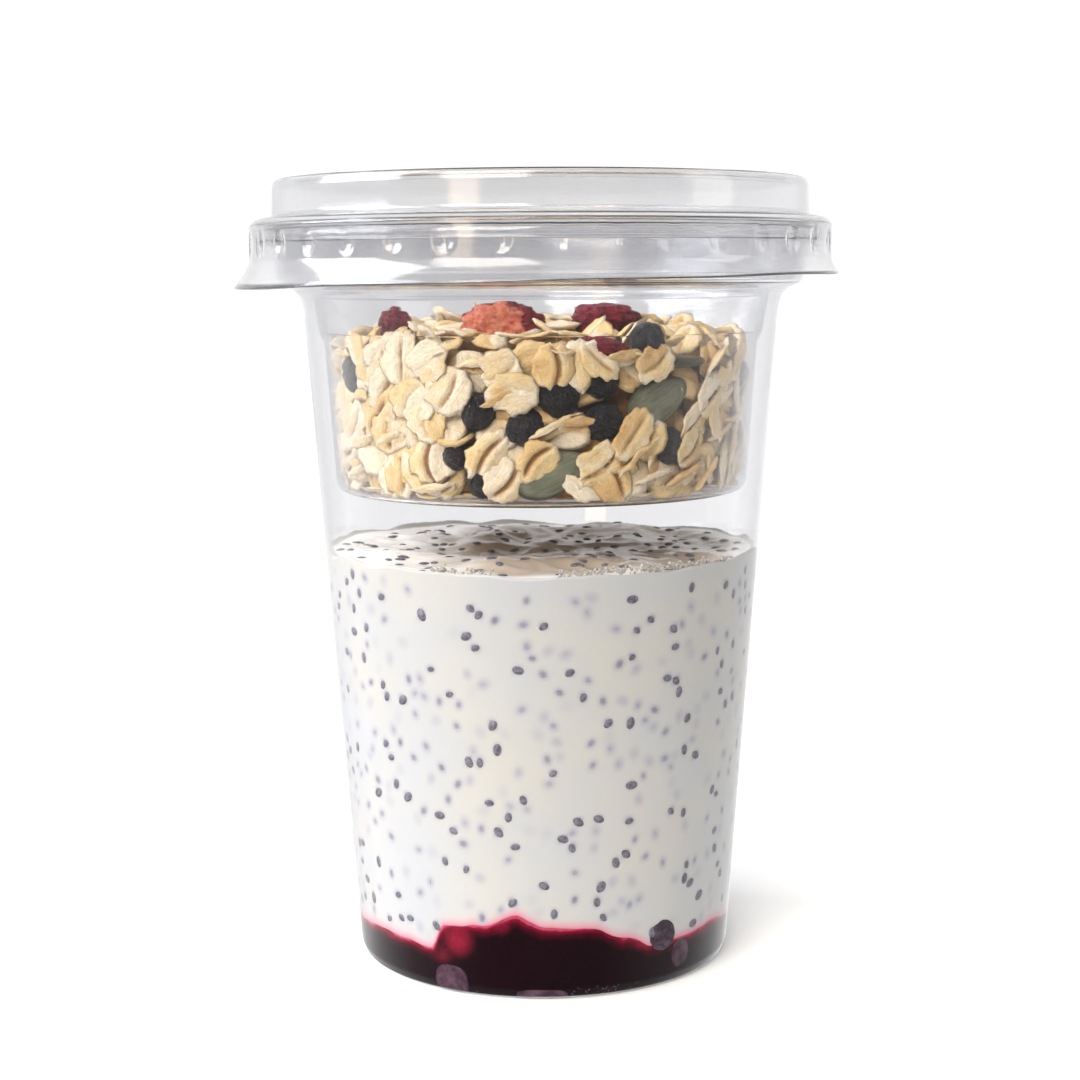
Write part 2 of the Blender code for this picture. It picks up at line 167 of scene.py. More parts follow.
def roundedPath(corners, spacing):
    # corners of (radius, height, rounding), joined by straight stretches and soft bends
    spots = [np.array(corner[:2], float) for corner in corners]
    path = [spots[0]]
    for k in range(1, len(spots)):
        here = spots[k]
        back = spots[k - 1] - here
        backLength = np.linalg.norm(back)
        back = back / backLength
        reach, turn = 0.0, 0.0
        if k < len(spots) - 1:
            ahead = spots[k + 1] - here
            aheadLength = np.linalg.norm(ahead)
            ahead = ahead / aheadLength
            turn = math.acos(float(np.clip(-(back @ ahead), -1, 1)))
            reach = corners[k][2] * math.tan(turn / 2)
            reach = min(reach, 0.47 * backLength, 0.47 * aheadLength)
        start = here + back * reach
        length = float(np.linalg.norm(start - path[-1]))
        count = max(2, math.ceil(length / spacing))
        shares = 0.5 - 0.5 * np.cos(math.pi * np.arange(1, count + 1) / count)
        path += [path[-1] + (start - path[-1]) * share for share in shares]
        if reach > 0:
            end = here + ahead * reach
            count = max(3, math.ceil(math.degrees(turn) / 14))
            for s in np.arange(1, count + 1) / count:
                path.append((1 - s) ** 2 * start + 2 * s * (1 - s) * here + s * s * end)
    return np.array(path)


def inside(path, depth):
    # the path moved to its right, into the sheet
    along = np.gradient(path, axis=0)
    along /= np.linalg.norm(along, axis=1, keepdims=True)
    return path + depth * np.stack([along[:, 1], -along[:, 0]], 1)


def sheetSection(path, thickness):
    # closed section of a sheet, from the axis round its free edge and back to the axis
    inner = inside(path, thickness)
    if path[0, 0] > path[-1, 0]:
        path, inner = path[::-1], inner[::-1]
    centre = (path[-1] + inner[-1]) / 2
    side = path[-1] - centre
    onward = path[-1] - path[-2]
    onward *= thickness / 2 / np.linalg.norm(onward)
    steps = np.radians([45, 90, 135])
    edge = [centre + side * math.cos(step) + onward * math.sin(step) for step in steps]
    return np.concatenate([path, edge, inner[::-1]])


def turnedSurface(radii, heights, columns):
    # turned about Z from rows of radii and heights; the first and last rows are at the axis
    radii = np.broadcast_to(radii, (len(radii), columns))
    heights = np.broadcast_to(heights, (len(heights), columns))
    turns = columnTurns(columns)
    rows = np.stack([radii * np.sin(turns), -radii * np.cos(turns), heights], -1)[1:-1]
    count = len(rows)
    poles = [[0, 0, heights[0, 0]], [0, 0, heights[-1, 0]]]
    points = np.concatenate([rows.reshape(-1, 3), poles])
    index = np.arange(count * columns).reshape(count, columns)
    ahead = np.roll(index, -1, axis=1)
    quads = np.stack([index[:-1], ahead[:-1], ahead[1:], index[1:]], -1).reshape(-1, 4)
    low = np.full(columns, count * columns)
    fans = np.concatenate([
        np.stack([low, ahead[0], index[0]], -1),
        np.stack([low + 1, index[-1], ahead[-1]], -1),
    ])
    r, z = radii.mean(1), heights.mean(1)
    area = (r[:-1] * z[1:] - r[1:] * z[:-1]).sum()
    faces = quads.tolist() + fans.tolist()
    if area < 0:
        faces = [face[::-1] for face in faces]
    return points, faces


def columnTurns(columns):
    return np.arange(columns) * fullTurn / columns - math.pi


def wallAxes(angle):
    # rows: along the wall, up, and away from the axis
    turn = math.radians(angle)
    across, deep = math.sin(turn), math.cos(turn)
    return np.array([[deep, across, 0], [0, 0, 1], [across, -deep, 0]], float)


def turnAbout(axis, degrees):
    c, s = math.cos(math.radians(degrees)), math.sin(math.radians(degrees))
    if axis == "x":
        return np.array([[1, 0, 0], [0, c, s], [0, -s, c]])
    if axis == "y":
        return np.array([[c, 0, -s], [0, 1, 0], [s, 0, c]])
    return np.array([[c, s, 0], [-s, c, 0], [0, 0, 1]])


def discTemplate(rings, sectors):
    # a closed lens: reach from the middle, turn round it, side (1 over, -1 under, 0 edge), faces
    shares = np.arange(1, rings + 1) / rings
    turns = np.arange(sectors) * fullTurn / sectors
    reach = np.concatenate([[0], np.repeat(shares, sectors), [0], np.repeat(shares[:-1], sectors)])
    turn = np.concatenate([[0], np.tile(turns, rings), [0], np.tile(turns, rings - 1)])
    over = 1 + rings * sectors
    side = np.concatenate([np.ones(over), -np.ones(len(reach) - over)])
    side[over - sectors : over] = 0
    upper = np.arange(1, over).reshape(rings, sectors)
    lower = np.arange(over + 1, len(reach)).reshape(rings - 1, sectors)
    lower = np.concatenate([lower, upper[-1:]])
    faces = []
    for grid, middle, flip in ((upper, 0, False), (lower, over, True)):
        ahead = np.roll(grid, -1, axis=1)
        fan = np.stack([np.full(sectors, middle), grid[0], ahead[0]], -1)
        first = np.stack([grid[:-1], grid[1:], ahead[1:]], -1).reshape(-1, 3)
        second = np.stack([grid[:-1], ahead[1:], ahead[:-1]], -1).reshape(-1, 3)
        found = np.concatenate([fan, first, second])
        faces.append(found[:, ::-1] if flip else found)
    return reach, turn, side, np.concatenate(faces)


def ballTemplate(rings, sectors):
    # directions over a ball, and its faces
    tilts = np.arange(1, rings) * math.pi / rings
    turns = np.arange(sectors) * fullTurn / sectors
    grid = np.stack([
        np.outer(np.sin(tilts), np.cos(turns)),
        np.outer(np.sin(tilts), np.sin(turns)),
        np.outer(np.cos(tilts), np.ones(sectors)),
    ], -1).reshape(-1, 3)
    points = np.concatenate([grid, [[0, 0, 1], [0, 0, -1]]])
    index = np.arange((rings - 1) * sectors).reshape(rings - 1, sectors)
    ahead = np.roll(index, -1, axis=1)
    top = np.full(sectors, len(points) - 2)
    faces = np.concatenate([
        np.stack([top, index[0], ahead[0]], -1),
        np.stack([index[:-1], index[1:], ahead[1:]], -1).reshape(-1, 3),
        np.stack([index[:-1], ahead[1:], ahead[:-1]], -1).reshape(-1, 3),
        np.stack([top + 1, ahead[-1], index[-1]], -1),
    ])
    return points, faces


class Heap:
    # gathers many small meshes into one piece
    def __init__(self):
        self.points, self.faces, self.marks, self.count = [], [], {}, 0

    def add(self, points, faces, **marks):
        self.points.append(points)
        self.faces.append(faces + self.count)
        self.count += len(points)
        for label, values in marks.items():
            self.marks.setdefault(label, []).append(values)

    def make(self, name, material, nodes=()):
        marks = {label: np.concatenate(values) for label, values in self.marks.items()}
        faces = np.concatenate(self.faces).tolist()
        return makePiece(name, np.concatenate(self.points), faces, material, nodes, marks)


# The clear plastic

sheetLook = {
    "tint": "#F8F8F9",
    "edgeTint": "#A0A1A9",  # what is seen through much plastic, near the outline
    "shadowTint": "#FCFCFC",
    "ior": 1.575,
    "gloss": 0.3,
    "roughness": 0.025,
    "waveSize": 14.0,
    "fineSize": 2.2,
    "waveDepth": 0.035,
    "fineDepth": 0.004,
}


def petSheet(name, look):
    # thermoformed PET, glossy: faint unevenness from drawing over the mould bends what is seen
    # through it and breaks its highlights into long soft streaks
    material, tree = newMaterial(name)
    place = addNode(tree, "TexCoord").outputs["Object"]
    stretched = addNode(tree, "Mapping", {"Vector": place, "Scale": (1.0, 1.0, 0.45)})
    broad = addNode(tree, "TexNoise", {
        "Vector": stretched, "Scale": perMillimetre(look["waveSize"]), "Detail": 1.0,
    })
    fine = addNode(tree, "TexNoise", {
        "Vector": place, "Scale": perMillimetre(look["fineSize"]), "Detail": 2.0,
    })
    first = addNode(tree, "Bump", {
        "Height": broad, "Strength": 1.0, "Distance": look["waveDepth"] * mm,
    })
    second = addNode(tree, "Bump", {
        "Height": fine, "Strength": 1.0, "Distance": look["fineDepth"] * mm, "Normal": first,
    })
    facing = addNode(tree, "LayerWeight", {"Blend": 0.5}).outputs["Facing"]
    colour = mixBetween(tree, facing, (0.55, 0.98), look["tint"], look["edgeTint"])
    plastic = addNode(tree, "BsdfPrincipled", {
        "Base Color": colour, "Roughness": look["roughness"],
        "IOR": look["ior"], "Transmission Weight": 1.0, "Normal": second,
        "Specular IOR Level": look["gloss"],
    })
    clear = addNode(tree, "BsdfTransparent", {"Color": look["shadowTint"]})
    # light on its way to the food passes straight through, so the food is lit without noise
    ray = addNode(tree, "LightPath")
    seen = addNode(tree, "MixShader", {0: ray.outputs["Is Diffuse Ray"], 1: plastic, 2: clear})
    mix = addNode(tree, "MixShader", {0: ray.outputs["Is Shadow Ray"], 1: seen, 2: clear})
    addNode(tree, "OutputMaterial", {"Surface": mix})
    return material


def makeSheet(name, path, design, material, node):
    # a turned sheet along a path
    section = sheetSection(path, design["sheet"])
    points, faces = turnedSurface(section[:, :1], section[:, 1:], design["columns"])
    makePiece(name, points, faces, material, [node])


cupDesign = {
    "sheet": 0.5,
    "baseRadius": 31.55,  # the tapered wall carried down to the table
    "taper": 0.0742,
    "wallTop": 109.8,
    "heelTop": 1.9,
    "columns": 192,
    "spacing": 2.8,
}


def cupRadius(height):
    return cupDesign["baseRadius"] + cupDesign["taper"] * height


cupCorners = [
    (46.6, 120.8, 0), (46.55, 122.4, 0.9), (44.6, 122.4, 0.9), (44.2, 120.6, 0.9),
    (44.05, 115.6, 1.6), (43.7, 114.0, 1.2), (41.5, 113.0, 1.4), (40.3, 111.8, 1.8),
    (cupRadius(cupDesign["wallTop"]), cupDesign["wallTop"], 3.0),
    (cupRadius(cupDesign["heelTop"]), cupDesign["heelTop"], 2.0), (31.15, 0.5, 0.8),
    (29.9, 0, 0.5), (27.4, 0, 0.6), (26.1, 1.2, 0.8), (0, 1.2, 0),
]
cupPath = roundedPath(cupCorners, cupDesign["spacing"])
makeSheet("clear_cup", cupPath, cupDesign, petSheet("PET cup sheet", sheetLook),
          "cup")

insertDesign = {
    "sheet": 0.45,
    "floor": 79.5,
    "radius": 34.75,  # the wall where it meets the rounded edge of the floor
    "edge": 2.2,
    "taper": 0.07,
    "stepFoot": 104.2,
    "stepTop": 105.9,
    "stepOut": 0.75,
    "clearance": 0.06,  # between the floor and the muesli
    "columns": 176,
    "spacing": 2.8,
}


def insertRadius(height):
    design = insertDesign
    wall = design["radius"] + design["taper"] * (height - design["floor"] - design["edge"])
    return wall + design["stepOut"] * (height > design["stepTop"] - 0.8)


def insertRoom(height):
    # radius that the muesli may reach, all the way down to the rounded floor edge
    design = insertDesign
    edge = design["edge"] - design["sheet"]
    drop = np.clip(design["floor"] + design["edge"] - height, 0, edge)
    wall = insertRadius(height) - design["sheet"] - 0.08
    return wall - (edge - np.sqrt(edge**2 - drop**2))


insertCorners = [
    (47.2, 123.2, 0), (44.2, 123.2, 0.6), (43.4, 122.3, 0.6), (42.9, 115.6, 1.4),
    (42.0, 114.0, 1.4), (39.4, 113.3, 1.2), (38.2, 112.2, 1.4),
    (insertRadius(insertDesign["stepTop"]), insertDesign["stepTop"], 0.45),
    (insertRadius(insertDesign["stepFoot"]), insertDesign["stepFoot"], 0.5),
    (34.6, insertDesign["floor"], insertDesign["edge"]), (0, insertDesign["floor"], 0),
]
insertPath = roundedPath(insertCorners, insertDesign["spacing"])
insertSheet = petSheet("PET insert sheet", sheetLook | {"waveDepth": 0.03})
makeSheet("clear_insert", insertPath, insertDesign, insertSheet, "insert")

lidDesign = {
    "sheet": 0.4,
    "skirt": 48.5,
    "skirtTop": 123.0,
    "flareTop": 117.7,
    "lip": 114.5,  # lower edge at the front
    "slant": 1.0,  # the lid sits askew: lower at the left, higher at the right
    "flare": 1.75,
    "flarePower": 1.3,
    "dimples": 36,
    "dimplePhase": 3.2,
    "dimpleHeight": 120.4,
    "dimpleHalf": (1.9, 2.45),
    "dimpleDepth": 0.5,
    "columns": 576,
}


def lidPath():
    design = lidDesign
    top = [(0, 130.4, 0), (41.2, 130.4, 1.2), (42.6, 131.0, 0.9), (44.3, 130.9, 0.9)]
    drum = [(44.65, 129.4, 0.7), (44.75, 125.0, 0.9), (47.6, 124.4, 0.8)]
    shoulder = [(design["skirt"], 123.4, 0.8), (design["skirt"], design["skirtTop"], 0)]
    upper = roundedPath(top + drum + shoulder, 4.0)
    skirt = np.linspace(design["skirtTop"], design["flareTop"], 17)[1:]
    flare = np.linspace(0, 1, 7)[1:]
    lower = [(design["skirt"], height) for height in skirt]
    for share in flare:
        radius = design["skirt"] + design["flare"] * share ** design["flarePower"]
        lower.append((radius, design["flareTop"] - share * (design["flareTop"] - design["lip"])))
    return np.concatenate([upper, lower])


def shapedLid():
    design = lidDesign
    section = sheetSection(lidPath(), design["sheet"])
    turns = columnTurns(design["columns"])[None]
    radii = section[:, :1] + 0 * turns
    heights = section[:, 1:] + 0 * turns
    drop = design["flareTop"] - design["lip"]
    share = np.clip((design["flareTop"] - heights) / drop, 0, None)
    slanted = heights + share * design["slant"] * np.sin(turns)
    # the lip is a little wavy, and stands out further where it hangs lower
    wavy = slanted + share**2 * 0.12 * np.sin(3 * turns + 0.7) * np.cos(5 * turns)
    outward = np.clip((design["flareTop"] - wavy) / drop, 0, None)
    before = design["flare"] * share ** design["flarePower"]
    radii = radii - before + design["flare"] * outward ** design["flarePower"]
    # the row of pressed dimples
    pitch = fullTurn / design["dimples"]
    phase = math.radians(design["dimplePhase"])
    nearest = np.round((turns - phase) / pitch) * pitch + phase
    halfWide, halfTall = design["dimpleHalf"]
    wide = (turns - nearest) * design["skirt"] / halfWide
    tall = (heights - design["dimpleHeight"]) / halfTall
    off = np.sqrt(wide**2 + tall**2)
    onSkirt = (radii > 47.0) & (heights > design["flareTop"] - 0.3)
    press = (1 - easeBetween(0.25, 1.0, off)) * onSkirt
    return radii - design["dimpleDepth"] * press, wavy


radii, heights = shapedLid()
points, faces = turnedSurface(radii, heights, lidDesign["columns"])
lidSheet = petSheet("PET lid sheet", sheetLook | {
    "tint": "#F0F0F1", "edgeTint": "#DEDFE2", "waveDepth": 0.06, "gloss": 0.36, "roughness": 0.10,
})
makePiece("clear_lid", points, faces, lidSheet, ["lid"])
print("clear cup, insert and lid made")


# Compote and yogurt

layerDesign = {
    "columns": 240,
    "compoteDepth": 0.22,  # how far inside the cup's skin each layer reaches
    "yogurtDepth": 0.28,
    "yogurtLevel": 69.3,
    "swirl": 0.75,
    "compoteMiddle": 10.5,
    "compoteReach": 33,  # radius of the wall beside each layer, for lengths along it
    "yogurtReach": 35,
    "rollSeed": 11,
}
# upper edge of the compote at the wall: angle, height
compoteEdge = [
    (-180, 9.5), (-150, 7.2), (-128, 9.0), (-104, 6.8), (-70, 7.2), (-55, 7.9),
    (-44, 7.6), (-35, 7.1), (-30, 11.4), (-17, 12.3), (-8, 14.2), (0, 12.4),
    (12, 11.9), (24, 9.7), (34, 7.5), (51, 7.8), (60, 8.3), (74, 7.1),
    (104, 8.2), (126, 10.6), (152, 7.6), (180, 9.5),
]


def edgeHeights(turns):
    # the compote's edge at these turns, eased between its points, with a fine ragged line
    angles = (np.degrees(turns) + 180) % 360 - 180
    heights = np.full(angles.shape, compoteEdge[0][1], float)
    for (low, start), (high, end) in zip(compoteEdge, compoteEdge[1:]):
        here = (angles >= low) & (angles <= high)
        heights[here] = start + (end - start) * easeBetween(low, high, angles[here])
    ragged = flatPoints(np.cos(turns) * 32, np.sin(turns) * 32)
    return heights + 0.10 * waves(ragged, 3.4, 5).reshape(turns.shape)


def compoteTop(turns, share):
    middle = layerDesign["compoteMiddle"]
    return middle + (edgeHeights(turns) - middle) * share**3


def yogurtTop(turns, radii):
    x, y = radii * np.sin(turns), -radii * np.cos(turns)
    swirl = np.sin(2 * np.arctan2(y, x) + radii * 0.22) * np.minimum(radii / 12, 1)
    rough = np.array([
        noise.noise(Vector((a * 0.11, b * 0.11, layerDesign["rollSeed"])))
        for a, b in zip(x.ravel(), y.ravel())
    ]).reshape(x.shape)
    flat = flatPoints(x, y)
    # spoon marks: broad soft folds, and sharper ones between them
    folds = waves(flat * [1, 0.5, 1], 15, 21).reshape(x.shape)
    ridges = (1 - np.abs(waves(flat, 8, 22).reshape(x.shape))) * 0.5
    calm = easeBetween(35.5, 29.0, radii)
    height = layerDesign["yogurtLevel"] + layerDesign["swirl"] * (0.55 * swirl + 0.9 * rough)
    return height + calm * (0.45 * folds + 0.6 * ridges)


columns = layerDesign["columns"]
turns = columnTurns(columns)[None]
compotePath = inside(cupPath, layerDesign["compoteDepth"])[::-1]
lower = compotePath[compotePath[:, 1] < 2.6]
lowerRadii = lower[:, :1] + 0 * turns
lowerHeights = lower[:, 1:] + 0 * turns
startHeight = lower[-1, 1]


def wallRadius(heights, depth):
    return cupRadius(heights) - depth


edge = compoteTop(turns, 1.0)
climb = np.linspace(0, 1, 16)[1:, None]
sideHeights = startHeight + (edge - startHeight) * climb
sideRadii = wallRadius(sideHeights, layerDesign["compoteDepth"])
inward = np.linspace(1, 0, 14)[1:, None]
topRadii = sideRadii[-1:] * inward
topHeights = compoteTop(turns + 0 * inward, inward + 0 * turns)
radii = np.concatenate([lowerRadii, sideRadii, topRadii])
heights = np.concatenate([lowerHeights, sideHeights, topHeights])
points, faces = turnedSurface(radii, heights, columns)
# how far each point is below the edge of the compote, for its brighter upper band
below = rowMarks(edge - heights, first=9.0)
# thin places where the fruit shows bright: angle, height, half width, half height, strength
brightFruit = [
    (-25.6, 9.4, 2.9, 3.0, 1.0), (-12.0, 12.6, 1.7, 1.6, 0.6), (-31.0, 6.4, 2.0, 1.6, 0.45),
    (56.0, 7.6, 3.0, 1.3, 0.5), (30.0, 8.2, 2.2, 0.9, 0.4), (-52.0, 7.4, 1.8, 0.9, 0.35),
    (110, 7.6, 3, 2, 0.7), (160, 7.0, 3, 2, 0.6), (-140, 7.2, 3, 2, 0.6),
]


def spotShare(turns, heights, angle, height, halfWide, halfTall):
    # 1 in the middle of an oval on the wall, 0 outside it
    along = arcFrom(angle, turns) * layerDesign["compoteReach"]
    off = np.hypot(along / halfWide, (heights - height) / halfTall)
    return easeBetween(1.25, 0.25, off)


glow = np.zeros(radii.shape)
for angle, height, halfWide, halfTall, strength in brightFruit:
    spot = strength * spotShare(turns + 0 * radii, heights, angle, height, halfWide, halfTall)
    glow = np.maximum(glow, spot)

compoteLook = {
    "deep": "#160008",
    "middle": "#3E0014",
    "bright": "#7C0826",
    "pale": "#B44A68",
    "thin": "#80122C",
    "bandHeight": 2.1,
    "pulpSize": 3.0,
    "fineSize": 0.7,
}


def berryCompote(look):
    # sieved berry compote against the plastic: wet, nearly black where it is deep, and crimson
    # where the layer thins out under the yogurt
    material, tree = newMaterial("berry compote, wet")
    place = addNode(tree, "TexCoord").outputs["Object"]
    depth = addNode(tree, "Attribute", attribute_name="belowEdge").outputs["Fac"]
    pulp = addNode(tree, "TexNoise", {
        "Vector": place, "Scale": perMillimetre(look["pulpSize"] * 2), "Detail": 4.0,
        "Roughness": 0.6,
    })
    fine = addNode(tree, "TexNoise", {
        "Vector": place, "Scale": perMillimetre(look["fineSize"]), "Detail": 2.0,
    })
    shifted = addNode(tree, "Math", {0: pulp, 1: 2.4, 2: -1.2}, operation="MULTIPLY_ADD")
    level = addNode(tree, "Math", {0: depth, 1: shifted}, operation="ADD")
    share = addNode(tree, "Math", {0: level, 1: look["bandHeight"]}, operation="DIVIDE")
    colour = addRamp(tree, share, [
        (0.0, look["pale"]), (1.0, look["deep"]), (0.16, look["bright"]), (0.5, look["middle"]),
    ])
    bright = addNode(tree, "Attribute", attribute_name="brightFruit").outputs["Fac"]
    colour = mixColours(tree, bright, colour, look["thin"])
    grain = addRamp(tree, fine, [(0.35, 0.75), (0.7, 1.0)])
    colour = mixColours(tree, 1.0, colour, grain, "MULTIPLY")
    bump = addNode(tree, "Bump", {"Height": pulp, "Strength": 0.5, "Distance": 0.4 * mm})
    # wet fruit pressed on plastic has almost no gloss of its own
    shader = addNode(tree, "BsdfPrincipled", {
        "Base Color": colour, "Roughness": 0.4, "IOR": 1.38, "Normal": bump,
        "Specular IOR Level": 0.08,
    })
    addNode(tree, "OutputMaterial", {"Surface": shader})
    return material


makePiece("berry_compote", points, faces, berryCompote(compoteLook), ["compote"],
          {"belowEdge": below, "brightFruit": rowMarks(glow)})

# Air pockets between the compote and the plastic, and the small bubbles beside them
pocketPlaces = [  # angle, height, half width, half height, squareness
    (-28.2, 1.9, 3.2, 3.0, 2.6), (-0.6, 0.6, 4.4, 1.25, 3.2), (44.5, 5.0, 2.1, 2.5, 2.0),
    (95, 1.6, 3.0, 2.4, 2.4), (-150, 1.4, 3.6, 2.0, 2.6),
]


def cupSkinAt(heights, depth):
    # radius of the cup's skin, less a depth, down round its heel
    path = inside(cupPath, depth)[::-1]
    outer = path[(path[:, 1] < 110) & (path[:, 0] > 28.5)]
    return np.interp(heights, outer[:, 1], outer[:, 0])


def trappedAir():
    # a film of juice on an air pocket: greyer and paler than the compote round it
    material, tree = newMaterial("trapped air")
    place = addNode(tree, "TexCoord").outputs["Object"]
    film = addNode(tree, "TexNoise", {
        "Vector": place, "Scale": perMillimetre(2.2), "Detail": 4.0, "Roughness": 0.65,
    })
    colour = addRamp(tree, film, [(0.35, "#2C1723"), (0.7, "#5C4352")])
    bump = addNode(tree, "Bump", {"Height": film, "Strength": 0.6, "Distance": 0.2 * mm})
    shader = addNode(tree, "BsdfPrincipled", {
        "Base Color": colour, "Roughness": 0.25, "IOR": 1.4, "Normal": bump,
        "Specular IOR Level": 0.3,
    })
    addNode(tree, "OutputMaterial", {"Surface": shader})
    return material


pockets = Heap()
reach, turn, side, pocketFaces = discTemplate(7, 40)
for angle, height, halfWide, halfTall, square in pocketPlaces:
    corner = (np.abs(np.cos(turn)) ** square + np.abs(np.sin(turn)) ** square) ** (-1 / square)
    along = reach * corner * np.cos(turn) * halfWide
    up = np.maximum(height + reach * corner * np.sin(turn) * halfTall, 0.35)
    depth = 0.15 - 0.05 * side * np.sqrt(np.clip(1 - reach**4, 0, 1))
    radius = cupSkinAt(up, 0.0) - depth
    where = math.radians(angle) + along / layerDesign["compoteReach"]
    points = np.stack([radius * np.sin(where), -radius * np.cos(where), up], -1)
    pockets.add(points, pocketFaces)
bubbleDesign = {"count": 46, "atFront": 26, "size": (0.10, 0.24), "seed": 17}
bubble, bubbleFaces = ballTemplate(5, 8)
draw = np.random.default_rng(bubbleDesign["seed"])
for k in range(bubbleDesign["count"]):
    angle = draw.uniform(8, 30) if k < bubbleDesign["atFront"] else draw.uniform(-180, 180)
    height = draw.uniform(0.6, 2.0)
    size = draw.uniform(*bubbleDesign["size"])
    middle = wallAxes(angle)[2] * cupSkinAt(height, 0.2) + [0, 0, height]
    pockets.add(bubble * size + middle, bubbleFaces)
pockets.make("trapped_air", trappedAir())

# Chia seeds in the yogurt: most lie behind its surface and only darken it, the rest are whole
chiaDesign = {
    "half": (1.12, 0.76, 0.42),
    "onTop": 150,
    "inWall": 820,
    "atPlastic": 0.34,  # the share of them that touch the plastic
    "gap": 1.9,
    "seed": 41,
}


def drawSeeds(design):
    # angle, height, size, turn, and depth behind the surface from 0 to 1
    draw = np.random.default_rng(design["seed"])
    rows, places = [], np.zeros((0, 2))
    while len(rows) < design["inWall"]:
        angle, height = draw.uniform(-180, 180), draw.uniform(8.5, 67.6)
        size, spin, depth = draw.uniform(0.8, 1.12), draw.uniform(0, math.pi), draw.random()
        if height < edgeHeights(np.array([math.radians(angle)]))[0] + 1.3:
            continue
        here = np.array([layerDesign["yogurtReach"] * math.radians(angle), height])
        if len(places):
            nearest = np.hypot(*(places - here).T).min()
            if nearest < design["gap"] * draw.uniform(0.7, 1.4):
                continue
        places = np.vstack([places, here])
        rows.append((angle, height, size, spin, depth))
    return rows


seedRows = drawSeeds(chiaDesign)


def seedShadow(turns, heights):
    # how much the seeds behind the surface darken it: deeper ones are fainter and more blurred
    shade = np.zeros(turns.shape)
    halfLong, halfWide, _ = chiaDesign["half"]
    for angle, height, size, spin, depth in seedRows:
        along = arcFrom(angle, turns) * layerDesign["yogurtReach"]
        up = heights - height
        near = (np.abs(along) < 3) & (np.abs(up) < 3)
        a = along[near] * math.cos(spin) + up[near] * math.sin(spin)
        b = up[near] * math.cos(spin) - along[near] * math.sin(spin)
        blur = 0.22 + 0.55 * depth
        off = np.hypot(a / (halfLong * size + blur), b / (halfWide * size + blur))
        strength = 0.88 * (1 - depth) ** 0.9 + 0.12
        shade[near] = np.maximum(shade[near], strength * easeBetween(1.05, 0.12, off))
    return shade


# The yogurt: its underside follows the compote, and its top is drawn finely
columns = 480
turns = columnTurns(columns)[None]
edge = compoteTop(turns, 1.0)
under = np.linspace(0, 1, 12)[:-1, None]
bottomEdge = edge - 0.2
bottomRadii = wallRadius(bottomEdge, layerDesign["yogurtDepth"]) * under
bottomHeights = compoteTop(turns + 0 * under, under + 0 * turns) - 0.2
topEdgeRadius = wallRadius(layerDesign["yogurtLevel"], layerDesign["yogurtDepth"])
# a thin lip of yogurt clings to the wall above the level
rim = yogurtTop(turns, topEdgeRadius + 0 * turns)
around = flatPoints(np.cos(turns) * 36, np.sin(turns) * 36)
cling = 0.35 + 0.22 * waves(around, 9, 31).reshape(turns.shape)
rimHeight = rim + cling
climb = np.linspace(0, 1, 118)[:, None]
sideHeights = bottomEdge + (rimHeight - bottomEdge) * climb
sideRadii = wallRadius(sideHeights, layerDesign["yogurtDepth"])
lipIn = np.array([0.12, 0.35, 0.8])[:, None]
lipRadii = sideRadii[-1:] - lipIn
lipHeights = rimHeight - cling * np.array([-0.1, 0.25, 0.8])[:, None]
inward = np.linspace(1, 0, 46)[:, None]
topRadii = (sideRadii[-1:] - 1.2) * inward
topHeights = yogurtTop(turns + 0 * inward, topRadii)
topHeights[-1] = topHeights[-1].mean()
radii = np.concatenate([bottomRadii, sideRadii, lipRadii, topRadii])
heights = np.concatenate([bottomHeights, sideHeights, lipHeights, topHeights])
points, faces = turnedSurface(radii, heights, columns)
shade = np.zeros(radii.shape)
onSide = slice(len(bottomRadii), len(bottomRadii) + len(sideRadii))
shade[onSide] = seedShadow(turns + 0 * sideHeights, sideHeights)
# a faint blush where the yogurt thins out over the compote
blush = np.clip(1 - (heights - edge) / 2.2, 0, 1) ** 2
# painted shade and painted reflection: the top is coloured grey-brown, but for its left end and its
# edge
film = np.zeros(radii.shape)
onTop = slice(len(radii) - len(topRadii), len(radii))
topX, topY = topRadii * np.sin(turns), -topRadii * np.cos(turns)
spread = waves(flatPoints(topX, topY), 13, 51).reshape(topX.shape)
film[onTop] = easeBetween(-19, -8, topX + 2.5 * spread) * easeBetween(34.5, 31.0, topRadii + spread)
# marks the top, which is painted a far lighter white than the side: painted light on the shaded top
upper = np.zeros(radii.shape)
upper[onTop] = 1.0

yogurtLook = {
    "white": "#BAB8B2",
    "cool": "#B3B5B8",
    "haze": "#A2A1AA",
    "seed": "#524F59",
    "blush": "#C9788C",
    # painted light: the top's lighter white
    "paintedLitTop": "#F8F7F4",
    # painted shade and painted reflection of the muesli, on the top
    "film": "#BFB2A2",
    "curdSize": 0.5,
}


